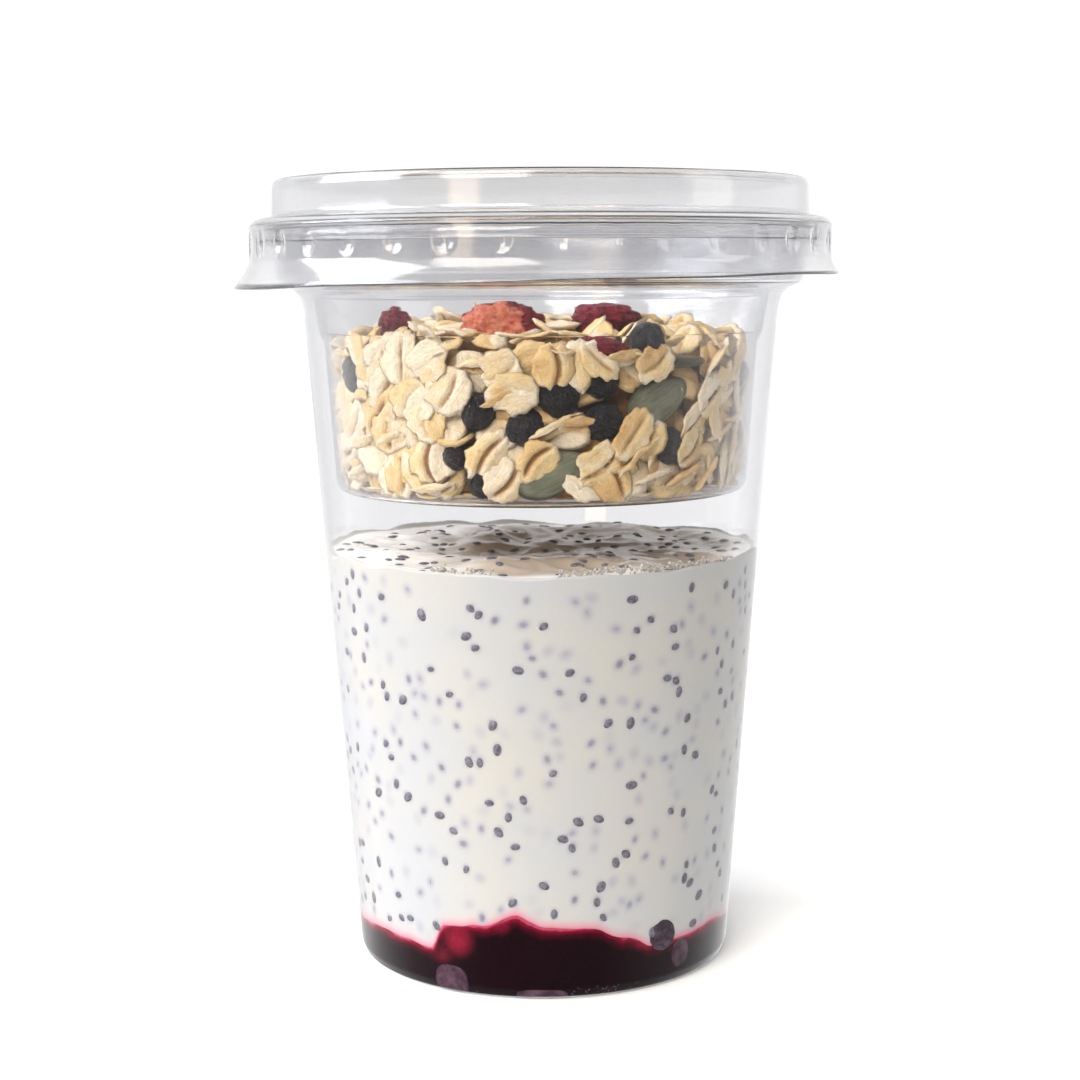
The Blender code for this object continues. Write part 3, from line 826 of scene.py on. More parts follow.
def chiaYogurt(look):
    # plain yogurt with soaked chia: soft white and moist; the seeds behind its surface show as
    # slate blurs, and the compote below stains its lowest edge
    material, tree = newMaterial("plain yogurt with chia")
    place = addNode(tree, "TexCoord").outputs["Object"]
    shade = addNode(tree, "Attribute", attribute_name="seedShade").outputs["Fac"]
    stain = addNode(tree, "Attribute", attribute_name="blush").outputs["Fac"]
    cloud = addNode(tree, "TexNoise", {"Vector": place, "Scale": perMillimetre(16), "Detail": 3.0})
    mottle = addNode(tree, "TexNoise", {
        "Vector": place, "Scale": perMillimetre(0.9), "Detail": 2.0,
    })
    white = mixBetween(tree, cloud, (0.35, 0.7), look["white"], look["cool"])
    white = mixColours(tree, stain, white, look["blush"])
    uneven = addNode(tree, "Math", {0: mottle, 1: 0.35, 2: 0.82}, operation="MULTIPLY_ADD")
    shade = addNode(tree, "Math", {0: shade, 1: uneven}, operation="MULTIPLY")
    hazy = mixBetween(tree, shade, (0.0, 0.5), white, look["haze"])
    colour = mixBetween(tree, shade, (0.4, 0.9), hazy, look["seed"])
    # where the top is painted grey-brown as shade and reflection
    paintedShadeAndReflection = addNode(tree, "Attribute", attribute_name="film").outputs["Fac"]
    upper = addNode(tree, "Attribute", attribute_name="upper").outputs["Fac"]
    # painted light: the top gets a lighter white than the side
    colour = mixColours(tree, upper, colour, look["paintedLitTop"])
    colour = mixColours(tree, paintedShadeAndReflection, colour, look["film"])
    curd = addNode(tree, "TexNoise", {
        "Vector": place, "Scale": perMillimetre(look["curdSize"]), "Detail": 2.0,
    })
    bump = addNode(tree, "Bump", {"Height": curd, "Strength": 0.25, "Distance": 0.04 * mm})
    shader = addNode(tree, "BsdfPrincipled", {
        "Base Color": colour, "Roughness": 0.2, "IOR": 1.36, "Normal": bump,
    })
    addNode(tree, "OutputMaterial", {"Surface": shader})
    return material


makePiece("chia_yogurt", points, faces, chiaYogurt(yogurtLook), ["yogurt"], {
    "seedShade": rowMarks(shade), "blush": rowMarks(blush),
    "film": rowMarks(film, last=1.0), "upper": rowMarks(upper, last=1.0),
})
print("compote and yogurt made")


# Whole chia seeds: on top of the yogurt, and those that touch the plastic


def soakedChia():
    # soaked chia seed: mottled slate under a thin wet gel that gives it a small highlight
    material, tree = newMaterial("soaked chia seed")
    place = addNode(tree, "TexCoord").outputs["Object"]
    mottle = addNode(tree, "TexNoise", {
        "Vector": place, "Scale": perMillimetre(0.5), "Detail": 2.0,
    })
    colour = addRamp(tree, mottle, [(0.35, "#54525B"), (0.7, "#7A7882")])
    shader = addNode(tree, "BsdfPrincipled", {"Base Color": colour, "Roughness": 0.35, "IOR": 1.4})
    addNode(tree, "OutputMaterial", {"Surface": shader})
    return material


ball, ballFaces = ballTemplate(8, 12)
draw = np.random.default_rng(chiaDesign["seed"])
seeds = Heap()
half = np.array(chiaDesign["half"])
for k in range(chiaDesign["onTop"]):
    reach = (topEdgeRadius - 1.6) * math.sqrt((k + 0.5) / chiaDesign["onTop"])
    turn = k * goldenTurn + draw.uniform(-0.25, 0.25)
    height = yogurtTop(np.array([[turn]]), np.array([[reach]]))[0, 0]
    spin = turnAbout("z", draw.uniform(0, 360)) @ turnAbout("x", draw.uniform(-15, 15))
    spot = np.array([reach * math.sin(turn), -reach * math.cos(turn), height - 0.2])
    seeds.add(ball * half * draw.uniform(0.85, 1.1) @ spin + spot, ballFaces)
for angle, height, size, spin, depth in seedRows:
    if depth > chiaDesign["atPlastic"]:
        continue
    radius = wallRadius(height, layerDesign["yogurtDepth"])
    sunk = 0.17 + 0.45 * depth
    middle = wallAxes(angle)[2] * (radius - sunk * size) + [0, 0, height]
    lying = turnAbout("z", -math.degrees(spin)) @ wallAxes(angle)
    seeds.add(ball * half * size @ lying + middle, ballFaces)
seeds.make("chia_seeds", soakedChia())

# Froth where the yogurt meets the wall, at the right of the front
frothDesign = {"stretches": ((4, 58, 300), (-29, -12, 90)), "size": (0.10, 0.22), "seed": 43}


def frothSkin():
    # tiny bubbles in the film of yogurt at its edge: thin wet skins that catch the light
    material, tree = newMaterial("yogurt froth")
    shader = addNode(tree, "BsdfPrincipled", {
        "Base Color": "#D9D5CE", "Roughness": 0.12, "IOR": 1.34,
        "Transmission Weight": 0.35,
    })
    addNode(tree, "OutputMaterial", {"Surface": shader})
    return material


draw = np.random.default_rng(frothDesign["seed"])
froth = Heap()
for start, end, count in frothDesign["stretches"]:
    for k in range(count):
        angle = draw.uniform(start, end)
        size = frothDesign["size"][0] + draw.random() ** 2 * frothDesign["size"][1]
        height = layerDesign["yogurtLevel"] + 0.5 + draw.normal() * 0.3
        radius = wallRadius(height, cupDesign["sheet"] + 0.02) - size - draw.random() ** 2 * 0.8
        froth.add(bubble * size + wallAxes(angle)[2] * radius + [0, 0, height], bubbleFaces)
froth.make("yogurt_froth", frothSkin())
print("chia seeds and froth made")


# Dried berries

berryLook = {
    "skin": "#0A080B",
    "bloom": "#241F26",
    # colour of the specks: oat dust and painted glints
    "dust": "#8E8072",
    "wrinkleSize": 1.5,
}


def driedSkin(name, look):
    # dried blueberry: near black and matt, with a grey bloom on the ridges and light specks that
    # are partly oat dust and partly painted glints
    material, tree = newMaterial(name)
    place = addNode(tree, "TexCoord").outputs["Object"]
    ridge = addNode(tree, "Attribute", attribute_name="ridge").outputs["Fac"]
    patches = addNode(tree, "TexNoise", {
        "Vector": place, "Scale": perMillimetre(3.0), "Detail": 4.0,
    })
    fine = addNode(tree, "TexNoise", {
        "Vector": place, "Scale": perMillimetre(look["wrinkleSize"] / 3), "Detail": 3.0,
        "Roughness": 0.65,
    })
    dots = addNode(tree, "TexVoronoi", {"Vector": place, "Scale": perMillimetre(0.42)})
    # light specks: partly oat dust, partly painted glints of the skin
    dustAndGlintSpeck = addRamp(tree, dots.outputs["Distance"], [(0.12, 0.8), (0.26, 0.0)])
    chance = addNode(tree, "SeparateColor", {0: dots.outputs["Color"]})
    few = addRamp(tree, chance, [(0.55, 0.0), (0.62, 1.0)])
    dustAndGlintSpeck = addNode(tree, "Math", {0: dustAndGlintSpeck, 1: few}, operation="MULTIPLY")
    high = addNode(tree, "Math", {0: ridge, 1: patches}, operation="MULTIPLY")
    colour = mixBetween(tree, high, (0.12, 0.62), look["skin"], look["bloom"])
    colour = mixColours(tree, dustAndGlintSpeck, colour, look["dust"])
    bump = addNode(tree, "Bump", {"Height": fine, "Strength": 1.0, "Distance": 0.7 * mm})
    shader = addNode(tree, "BsdfPrincipled", {
        "Base Color": colour, "Roughness": 0.36, "IOR": 1.45, "Normal": bump,
        "Sheen Weight": 0.05,
    })
    addNode(tree, "OutputMaterial", {"Surface": shader})
    return material


berryBall, berryFaces = ballTemplate(30, 44)
berryFaces = berryFaces.tolist()


def wrinkled(half, seed, depth):
    # folds run between rounded swellings: the folded-over size of a smooth wave
    spots = berryBall * [1, 1, 0.96]
    swell = waves(spots, 2.2, seed) * 0.05
    folds = np.abs(waves(spots, 0.9, seed + 1)) + 0.45 * np.abs(waves(spots, 0.45, seed + 2))
    folds += 0.3 * np.abs(waves(spots, 0.27, seed + 3))
    ridge = np.clip(folds / 1.7, 0, 1)
    scale = 0.93 + swell + depth * (ridge - 0.5)
    return spots * scale[:, None] * half, ridge


def keepInInsert(points):
    # moves a whole small piece inwards until it is clear of the insert's wall and floor
    reach = np.hypot(points[:, 0], points[:, 1])
    floor = insertDesign["floor"] + insertDesign["sheet"] + insertDesign["clearance"]
    points = points + [0, 0, max(0.0, floor - points[:, 2].min())]
    over = float((reach - insertRoom(np.maximum(points[:, 2], floor))).max())
    if over > 0:
        centre = points.mean(0)
        out = centre[:2] / max(np.linalg.norm(centre[:2]), 1e-6)
        points = points - np.array([out[0], out[1], 0]) * over
    return points


berrySkin = driedSkin("dried blueberry", berryLook)
berryBoxes = {}
for k in range(1, 16):
    node = f"berry_{k:02d}"
    middle, half = berryBoxes[node] = boxOf(node)
    points, ridge = wrinkled(half * 1.2, 100 + k, 0.13)
    tipped = points @ turnAbout("x", 37 * k) @ turnAbout("z", 71 * k)
    makePiece("dried_" + node, keepInInsert(tipped + middle), berryFaces, berrySkin,
              [node], {"ridge": ridge})

middle, half = boxOf("compote_berry")
soakedLook = {
    "skin": "#2A1826",
    "bloom": "#574759",
    "dust": "#4E3C50",
    "wrinkleSize": 2.4,
    "towardsWall": 2.6,
}
points, ridge = wrinkled(half * 1.1, 77, 0.06)
points = points + middle
points = points + wallAxes(angleOf(middle))[2] * soakedLook["towardsWall"]
# it is pressed flat where it meets the wall
reach = np.hypot(points[:, 0], points[:, 1])
most = cupSkinAt(points[:, 2], 0.14)
points[:, :2] *= np.minimum(1, most / reach)[:, None]
makePiece("soaked_berry", points, berryFaces, driedSkin("soaked blueberry", soakedLook),
          ["compote_berry"], {"ridge": ridge})
print("berries made")


# Pumpkin seeds

pumpkinDesign = {
    "half": (6.3, 3.6, 1.1),
    "rimAt": 0.86,
    "rings": 12,
    "sectors": 44,
}
# how each seed is rolled, and whether it lies flat on the heap
pumpkinLies = {
    "pumpkin_seed_1": (27, False), "pumpkin_seed_2": (0, True), "pumpkin_seed_3": (22, False),
    "pumpkin_seed_4": (-30, False), "pumpkin_seed_5": (60, False),
}


def pumpkinSkin():
    # hulled pumpkin seed: thin satin skin, grey-green with a lighter bloom, darker at its rim,
    # faint veins along its length
    material, tree = newMaterial("hulled pumpkin seed")
    spot = addNode(tree, "Attribute", attribute_name="seedSpot").outputs["Vector"]
    place = addNode(tree, "TexCoord").outputs["Object"]
    parts = addNode(tree, "SeparateXYZ", {0: spot})
    stretched = addNode(tree, "Mapping", {"Vector": spot, "Scale": (0.7, 6.0, 1.0)})
    veins = addNode(tree, "TexNoise", {"Vector": stretched, "Scale": 2.0, "Detail": 3.0})
    patches = addNode(tree, "TexNoise", {
        "Vector": place, "Scale": perMillimetre(2.4), "Detail": 3.0,
    })
    body = mixBetween(tree, veins, (0.35, 0.7), "#5C5D49", "#797B66")
    body = mixColours(tree, addRamp(tree, patches, [(0.45, 0.0), (0.8, 0.6)]), body, "#8C8C7C")
    colour = mixBetween(tree, parts.outputs[2], (0.78, 0.93), body, "#45442F")
    bump = addNode(tree, "Bump", {"Height": veins, "Strength": 0.4, "Distance": 0.12 * mm})
    shader = addNode(tree, "BsdfPrincipled", {
        "Base Color": colour, "Roughness": 0.38, "IOR": 1.46, "Normal": bump,
    })
    addNode(tree, "OutputMaterial", {"Surface": shader})
    return material


def pumpkinShape(seed):
    # a flat drop, pointed at one end, with a raised rim round a slightly domed face
    reach, turn, side, faces = discTemplate(pumpkinDesign["rings"], pumpkinDesign["sectors"])
    halfLong, halfWide, halfThick = pumpkinDesign["half"]
    x = reach * np.cos(turn)
    taper = 1 - 0.20 * x - 0.10 * x * x
    y = reach * np.sin(turn) * taper
    body = np.sqrt(np.clip(1 - reach**4, 0, 1)) * (0.72 + 0.2 * (1 - reach**2))
    rim = np.exp(-(((reach - pumpkinDesign["rimAt"]) / 0.06) ** 2)) * 0.16
    groove = np.exp(-(((reach - 0.74) / 0.07) ** 2)) * 0.10
    z = side * (body + rim - groove)
    bow = waves(flatPoints(x * 3, y * 3), 6.0, seed) * 0.12 + 0.10 * x * x
    points = np.stack([x * halfLong, y * halfWide, (z + bow) * halfThick], -1)
    return points, faces, np.stack([x, y, reach], -1)


pumpkin = pumpkinSkin()
seedSpots = []
for k, (node, (roll, liesFlat)) in enumerate(pumpkinLies.items()):
    middle, _ = boxOf(node)
    angle = angleOf(middle)
    seedSpots.append((angle, middle[2], roll))
    points, faces, spots = pumpkinShape(200 + k)
    spin = turnAbout("z", roll) @ turnAbout("x", 90 if liesFlat else 0) @ wallAxes(angle)
    points = keepInInsert(points @ spin + middle)
    makePiece("green_" + node, points, faces.tolist(), pumpkin, [node],
              {"seedSpot": spots})
print("pumpkin seeds made")


# Red fruit

fruitLook = {
    "skin": "#8C1B30",
    # the skin's darker mottle, and painted shade in the pores
    "dark": "#3E0A18",
    "flesh": "#C4604A",
    "pale": "#DC9A80",
}
# yaw of each piece, and how much of it is the paler cut face, towards an angle
fruitPlaces = {
    "red_fruit_1": (0, 0.35, -40), "red_fruit_2": (-8, 0.75, -28), "red_fruit_3": (10, 0.0, 0),
    "red_fruit_4": (16, 0.15, -30), "red_fruit_5": (30, 0.3, 150),
}


def freezeDried(look):
    # freeze-dried strawberry: dry and porous, crimson skin with a crumbly orange-pink inside; its
    # pores are darkened with painted shade
    material, tree = newMaterial("freeze-dried strawberry")
    place = addNode(tree, "TexCoord").outputs["Object"]
    cut = addNode(tree, "Attribute", attribute_name="cutFace").outputs["Fac"]
    pits = addNode(tree, "TexVoronoi", {
        "Vector": place, "Scale": perMillimetre(0.9), "Randomness": 1.0,
    }).outputs["Distance"]
    crumb = addNode(tree, "TexNoise", {
        "Vector": place, "Scale": perMillimetre(1.2), "Detail": 5.0, "Roughness": 0.7,
    })
    skin = mixBetween(tree, crumb, (0.35, 0.65), look["dark"], look["skin"])
    flesh = mixBetween(tree, crumb, (0.4, 0.7), look["flesh"], look["pale"])
    edge = addNode(tree, "Math", {0: crumb, 1: 0.5, 2: cut}, operation="MULTIPLY_ADD")
    colour = mixBetween(tree, edge, (0.62, 0.9), skin, flesh)
    # painted shade: the pores are darkened
    paintedPoreShade = addRamp(tree, pits, [(0.05, 0.55), (0.35, 0.0)])
    colour = mixColours(tree, paintedPoreShade, colour, look["dark"])
    bump = addNode(tree, "Bump", {"Height": crumb, "Strength": 1.0, "Distance": 0.5 * mm})
    shader = addNode(tree, "BsdfPrincipled", {
        "Base Color": colour, "Roughness": 0.8, "IOR": 1.4, "Normal": bump,
        "Sheen Weight": 0.15,
    })
    addNode(tree, "OutputMaterial", {"Surface": shader})
    return material


fruitBall, fruitFaces = ballTemplate(44, 64)
driedFruit = freezeDried(fruitLook)
for k, (node, (yaw, cutShare, cutAngle)) in enumerate(fruitPlaces.items()):
    middle, half = boxOf(node)
    seed = 300 + 10 * k
    spots = fruitBall
    swell = waves(spots, 1.7, seed) * 0.09 + waves(spots, 0.6, seed + 1) * 0.045
    crags = np.abs(waves(spots, 0.4, seed + 2)) * 0.09 + np.abs(waves(spots, 0.2, seed + 3)) * 0.05
    points = spots * (1.06 + swell - crags)[:, None] * half
    facing = spots @ wallAxes(cutAngle)[2]
    cut = easeBetween(0.15, 0.6, facing + 0.15 * waves(spots, 1.2, seed + 4)) * cutShare
    points = keepInInsert(points + middle - [0, 0, 0.5])
    makePiece("dried_" + node, points, fruitFaces.tolist(), driedFruit, [node],
              {"cutFace": cut})


# Rolled oats

heapDesign = {
    "edge": 103.6,
    "middle": 107.0,
    "wallReach": 36,  # radius of the wall beside it, for lengths along the wall
    "wallFrom": (81.5, 103.2),  # heights of the flakes that lie against the wall
    "topReach": 33.6,
    "floorReach": 31.0,
    "floorAt": 80.7,
    "coreFoot": 81.2,
    "coreDrop": 2.4,  # the core ends this much under the top at the wall
    "coreInset": 4.2,
    "rollSeed": 61,
    "thickness": 0.78,
    "wallFlakes": 170,
    "backFlakes": 110,
    "topFlakes": 120,
    "floorFlakes": 34,
}
frontDesign = {
    "courses": 5,
    "lowest": 82.8,
    "highest": 103.2,
    "apart": 4.7,  # between one course and the next
    "reach": 82,  # degrees each way from the front
    "step": 10.4,
    "unevenness": (2.4, 0.9),
    "clearOfToppings": 1.0,
    "onEdge": 0.32,  # the share of them that stand on edge
}
oatLook = {
    "floury": "#F7EAD0",
    "cream": "#F1D59C",
    "toasted": "#D09C58",
    "bran": "#8F5F30",
    "fibre": 0.5,
}


def rolledOat(look):
    # rolled oat: dry and chalky, cream with toasted bran along its crease and rim, fine fibres
    # along its length and a dusting of flour
    material, tree = newMaterial("rolled oat")
    spot = addNode(tree, "Attribute", attribute_name="flakeSpot").outputs["Vector"]
    tone = addNode(tree, "Attribute", attribute_name="flakeTone").outputs["Fac"]
    fold = addNode(tree, "Attribute", attribute_name="flakeFold").outputs["Fac"]
    place = addNode(tree, "TexCoord").outputs["Object"]
    stretched = addNode(tree, "Mapping", {"Vector": spot, "Scale": (2.6, 0.55, 1.0)})
    fibres = addNode(tree, "TexNoise", {
        "Vector": stretched, "Scale": 1.0 / look["fibre"], "Detail": 4.0, "Roughness": 0.62,
    })
    blotch = addNode(tree, "TexNoise", {
        "Vector": place, "Scale": perMillimetre(2.8), "Detail": 3.0,
    })
    dust = addNode(tree, "TexNoise", {"Vector": place, "Scale": perMillimetre(0.35), "Detail": 2.0})
    mixed = addNode(tree, "Math", {0: blotch, 1: 0.9, 2: -0.52}, operation="MULTIPLY_ADD")
    level = addNode(tree, "Math", {0: tone, 1: mixed}, operation="ADD")
    colour = addRamp(tree, level, [
        (0.0, look["floury"]), (1.0, look["toasted"]), (0.35, look["cream"]),
    ])
    streak = addRamp(tree, fibres, [(0.32, 0.6), (0.52, 0.0)])
    colour = mixColours(tree, streak, colour, look["toasted"])
    flour = addRamp(tree, dust, [(0.52, 0.0), (0.75, 0.4)])
    colour = mixColours(tree, flour, colour, "#F6F0E2")
    branShare = addNode(tree, "Math", {0: fibres, 1: 0.7, 2: fold}, operation="MULTIPLY_ADD")
    husk = addRamp(tree, branShare, [(0.55, 0.0), (1.0, 0.9)])
    colour = mixColours(tree, husk, colour, look["bran"])
    height = addNode(tree, "Math", {0: fibres, 1: dust}, operation="ADD")
    bump = addNode(tree, "Bump", {"Height": height, "Strength": 0.8, "Distance": 0.24 * mm})
    shader = addNode(tree, "BsdfPrincipled", {
        "Base Color": colour, "Roughness": 0.82, "IOR": 1.45, "Normal": bump,
        "Sheen Weight": 0.05,
    })
    addNode(tree, "OutputMaterial", {"Surface": shader})
    return material


templates = {"fine": discTemplate(7, 42), "plain": discTemplate(4, 20)}
sectorTurns = {kind: np.unique(template[1]) for kind, template in templates.items()}


def sectorOf(turn, kind):
    # which sector of its disc each point is in, so that one ragged edge serves both faces
    return np.searchsorted(sectorTurns[kind], turn)


def flake(kind, width, length, tone, crease, draw):
    # a rolled grain: a ragged oval sheet, split and folded along its crease, curled and cracked
    reach, turn, side, faces = templates[kind]
    outline = np.ones(len(turn))
    for k in range(2, 8):
        outline += draw.normal() * 0.085 / k**0.7 * np.cos(k * turn + draw.uniform(0, fullTurn))
    outline += 0.03 * np.sin(turn * draw.integers(9, 13) + draw.uniform(0, fullTurn))
    outline += 0.028 * draw.normal(size=len(sectorTurns[kind]))[sectorOf(turn, kind)]
    for _ in range(draw.integers(1, 4)):
        off = (turn - draw.uniform(0, fullTurn) + math.pi) % fullTurn - math.pi
        outline -= draw.uniform(0.08, 0.24) * np.exp(-((off / draw.uniform(0.09, 0.2)) ** 2))
    spread = 1 + (outline - 1) * reach**2
    x = reach * spread * np.cos(turn) * width / 2
    y = reach * spread * np.sin(turn) * length / 2
    u, v = x / width * 2, y / length * 2
    bend = 0.12 * math.sin(draw.uniform(0, fullTurn))
    line = x - bend * width * np.cos(v * 2.2)
    groove = np.exp(-((line / 0.42) ** 2)) * np.clip(1 - v**4, 0, 1)
    curl = draw.uniform(-0.03, 0.03)
    bow = draw.uniform(-0.018, 0.022)
    flat = flatPoints(x, y)
    seeds = draw.integers(1e6, size=2).tolist()
    rough = waves(flat, 3.6, seeds[0]) * 0.13 + waves(flat, 1.3, seeds[1]) * 0.07
    lift = curl * x**2 + bow * y**2 + rough * (0.5 + 0.6 * reach)
    # the halves on each side of the crease swell
    swell = 0.34 * crease * np.exp(-(((np.abs(line) - 0.95) / 0.8) ** 2)) * np.clip(1 - v**2, 0, 1)
    lift += swell - 0.5 * crease * groove
    thick = heapDesign["thickness"] * np.sqrt(np.clip(1 - reach**5, 0, 1)) * (0.8 + 0.35 * swell)
    z = lift + side * thick / 2 * draw.uniform(0.85, 1.2)
    fold = 0.85 * groove * crease + 0.36 * easeBetween(0.8, 1.0, reach) * np.abs(np.cos(turn))
    # one half keeps more of its bran, and the broken ends are floury
    tones = tone + draw.uniform(-0.3, 0.3) * np.tanh(line / 0.5)
    tones = tones - 0.3 * easeBetween(0.6, 1.0, np.abs(v))
    seed = draw.uniform(0, 50)
    spot = np.stack([x + seed, y + seed * 1.7, z * 0.5 + seed], -1)
    return np.stack([x, y, z], -1), faces, spot, tones, fold


oats = Heap()
draw = np.random.default_rng(heapDesign["rollSeed"])


def addFlake(kind, width, length, tone, crease, spin, middle):
    points, faces, spot, tones, fold = flake(kind, width, length, tone, crease, draw)
    placed = keepInInsert(points @ spin + middle)
    oats.add(placed, faces, flakeSpot=spot, flakeTone=tones, flakeFold=fold)


def onWall(angle, height, depth):
    return wallAxes(angle)[2] * (insertRoom(height) - depth) + [0, 0, height]


def heapTop(x, y):
    reach = min(math.hypot(x, y) / insertRadius(heapDesign["edge"]), 1.0)
    return heapDesign["middle"] + (heapDesign["edge"] - heapDesign["middle"]) * reach**2


def nearWall(angle, height, places, gap):
    # whether a place on the wall is close to one of these, measured along the wall
    for otherAngle, otherHeight, size in places:
        along = math.radians((angle - otherAngle + 180) % 360 - 180) * heapDesign["wallReach"]
        if math.hypot(along, height - otherHeight) < gap + size:
            return True
    return False


# places of the toppings that show at the wall: angle, height, size
shown = []
for middle, half in berryBoxes.values():
    if math.hypot(middle[0], middle[1]) > 26:
        shown.append((angleOf(middle), middle[2], half[0] * 0.75))
for angle, height, roll in seedSpots:
    for off in (-3.2, 0, 3.2):
        tilt = math.radians(roll)
        turnBy = math.degrees(off * math.cos(tilt) / 35)
        shown.append((angle + turnBy, height + off * math.sin(tilt), 2.0))

# large flakes against the front of the wall, in uneven courses, clear of the toppings
frontPlaces = []
steps = int(2 * frontDesign["reach"] / frontDesign["step"])
along, up = frontDesign["unevenness"]
for course in range(frontDesign["courses"]):
    for k in range(steps):
        angle = (k + 0.5 * (course % 2)) * frontDesign["step"] - frontDesign["reach"]
        angle += draw.normal() * along
        height = frontDesign["lowest"] + course * frontDesign["apart"] + draw.normal() * up
        height = min(height, frontDesign["highest"])
        if nearWall(angle, height, shown, frontDesign["clearOfToppings"]):
            continue
        onEdge = draw.random() < frontDesign["onEdge"]
        width = draw.uniform(3.4, 4.8) if onEdge else draw.uniform(5.8, 7.8)
        length = draw.uniform(6.6, 9.2)
        roll = draw.uniform(40, 90) if onEdge else draw.uniform(-70, 90)
        lean = draw.uniform(48, 72) if onEdge else draw.uniform(2, 20)
        # painted light: flakes at the left get a paler tone, as the light from the left falls on
        # them
        tone = draw.uniform(0.1, 0.65) - 0.15 * (angle < -25)
        spin = turnAbout("y", lean) @ turnAbout("z", -roll) @ wallAxes(angle)
        depth = 0.6 + 0.25 * math.sin(math.radians(lean)) * width
        addFlake("fine", width, length, tone, draw.uniform(0.3, 1.2), spin,
                 onWall(angle, height, depth))
        frontPlaces.append((angle, height, min(width, length) * 0.3))

taken = []
tries = 0
while len(taken) < heapDesign["wallFlakes"] and tries < 9000:
    tries += 1
    angle, height = draw.uniform(-180, 180), draw.uniform(*heapDesign["wallFrom"])
    if nearWall(angle, height, shown, 2.4) or nearWall(angle, height, frontPlaces, 1.6):
        continue
    if nearWall(angle, height, taken, 3.3):
        continue
    taken.append((angle, height, 0.0))
    width, length = draw.uniform(5.0, 7.0), draw.uniform(6.4, 8.8)
    tone = np.clip(draw.normal(0.3, 0.2), 0, 0.9)
    # painted light: flakes at the left are paler, as the light from the left falls on them
    if -75 < angle < -25:
        tone *= 0.5
    isFront = -85 < angle < 85
    leans = draw.normal(0, 14) if isFront or draw.random() < 0.75 else draw.uniform(40, 75)
    spin = turnAbout("y", leans) @ turnAbout("x", draw.normal(0, 8))
    spin = spin @ turnAbout("z", draw.uniform(0, 360)) @ wallAxes(angle)
    addFlake("plain", width, length, tone, draw.uniform(0.2, 1.0), spin,
             onWall(angle, height, draw.uniform(1.1, 1.9) + 0.6 * isFront))
print("flakes against the wall:", len(frontPlaces), "large,", len(taken), "drawn")

for k in range(heapDesign["backFlakes"]):
    # a second layer behind the first, which shows in its gaps
    angle = -180 + 360 * ((k * 0.618034) % 1)
    height = 82.0 + 20.5 * ((k + 0.5) / heapDesign["backFlakes"])
    if nearWall(angle, height, shown, 0.6):
        continue
    spin = turnAbout("y", draw.normal(0, 22)) @ turnAbout("x", draw.normal(0, 14))
    spin = spin @ turnAbout("z", draw.uniform(0, 360)) @ wallAxes(angle)
    addFlake("plain", draw.uniform(5.6, 7.4), draw.uniform(7, 9), draw.uniform(0.3, 0.8),
             0.5, spin, onWall(angle, height, draw.uniform(2.8, 3.8)))

fruitSpots = []
for node in list(fruitPlaces) + list(berryBoxes) + ["pumpkin_seed_2"]:
    middle, half = boxOf(node)
    if middle[2] + half[2] > 103.5:
        fruitSpots.append((middle, half[:2].max()))
for k in range(heapDesign["topFlakes"]):
    reach = heapDesign["topReach"] * math.sqrt((k + 0.5) / heapDesign["topFlakes"])
    turn = k * goldenTurn
    x, y = reach * math.sin(turn), -reach * math.cos(turn)
    inFruit = any(math.hypot(x - c[0], y - c[1]) < r + 1.8 for c, r in fruitSpots)
    lift = 0.2 + draw.uniform(-0.6, 0.7) - (2.2 if inFruit else 0.0)
    spin = turnAbout("z", draw.uniform(0, 360)) @ turnAbout("x", draw.normal(0, 24))
    spin = spin @ turnAbout("y", draw.normal(0, 24))
    tone = np.clip(draw.normal(0.32, 0.2), 0, 0.9)
    addFlake("plain", draw.uniform(5.0, 7.2), draw.uniform(6.2, 8.8), tone,
             draw.uniform(0.2, 1.0), spin, np.array([x, y, heapTop(x, y) + lift]))
for k in range(heapDesign["floorFlakes"]):
    reach = heapDesign["floorReach"] * math.sqrt((k + 0.5) / heapDesign["floorFlakes"])
    turn = k * goldenTurn
    spin = turnAbout("z", draw.uniform(0, 360)) @ turnAbout("x", draw.normal(0, 5))
    middle = np.array([reach * math.sin(turn), -reach * math.cos(turn), heapDesign["floorAt"]])
    addFlake("plain", draw.uniform(5.6, 7.4), draw.uniform(7, 9), draw.uniform(0.1, 0.6), 0.5,
             spin, middle)

# the core behind the flakes: crushed oats, uneven all over, coloured dark as painted shade of the
# heap's inside
climb = np.linspace(0, 1, 14)[:, None]
coreTurns = columnTurns(90)[None]
coreFoot = heapDesign["coreFoot"]
sideHeight = coreFoot + (heapDesign["edge"] - heapDesign["coreDrop"] - coreFoot) * climb
sideRadius = insertRoom(sideHeight) - heapDesign["coreInset"]
bottom = np.linspace(0, 1, 8)[:-1, None]
crown = np.linspace(1, 0, 12)[1:, None]
crownRadius = sideRadius[-1] * crown
crownHeight = heapDesign["middle"] + (heapDesign["edge"] - heapDesign["middle"]) * crown**2 - 2.0
radii = np.concatenate([sideRadius[0] * bottom, sideRadius, crownRadius]) + 0 * coreTurns
heights = np.concatenate([81.0 + 0 * bottom, sideHeight, crownHeight]) + 0 * coreTurns
points, faces = turnedSurface(radii, heights, 90)
bumps = waves(points, 4.0, 71) * 0.6 + np.abs(waves(points, 2.0, 72)) * 0.5
out = points - [0, 0, 92.0]
points = points + out / np.linalg.norm(out, axis=1, keepdims=True) * bumps[:, None] * 0.6
triangles = [face[:3] for face in faces] + [[f[0], f[2], f[3]] for f in faces if len(f) == 4]
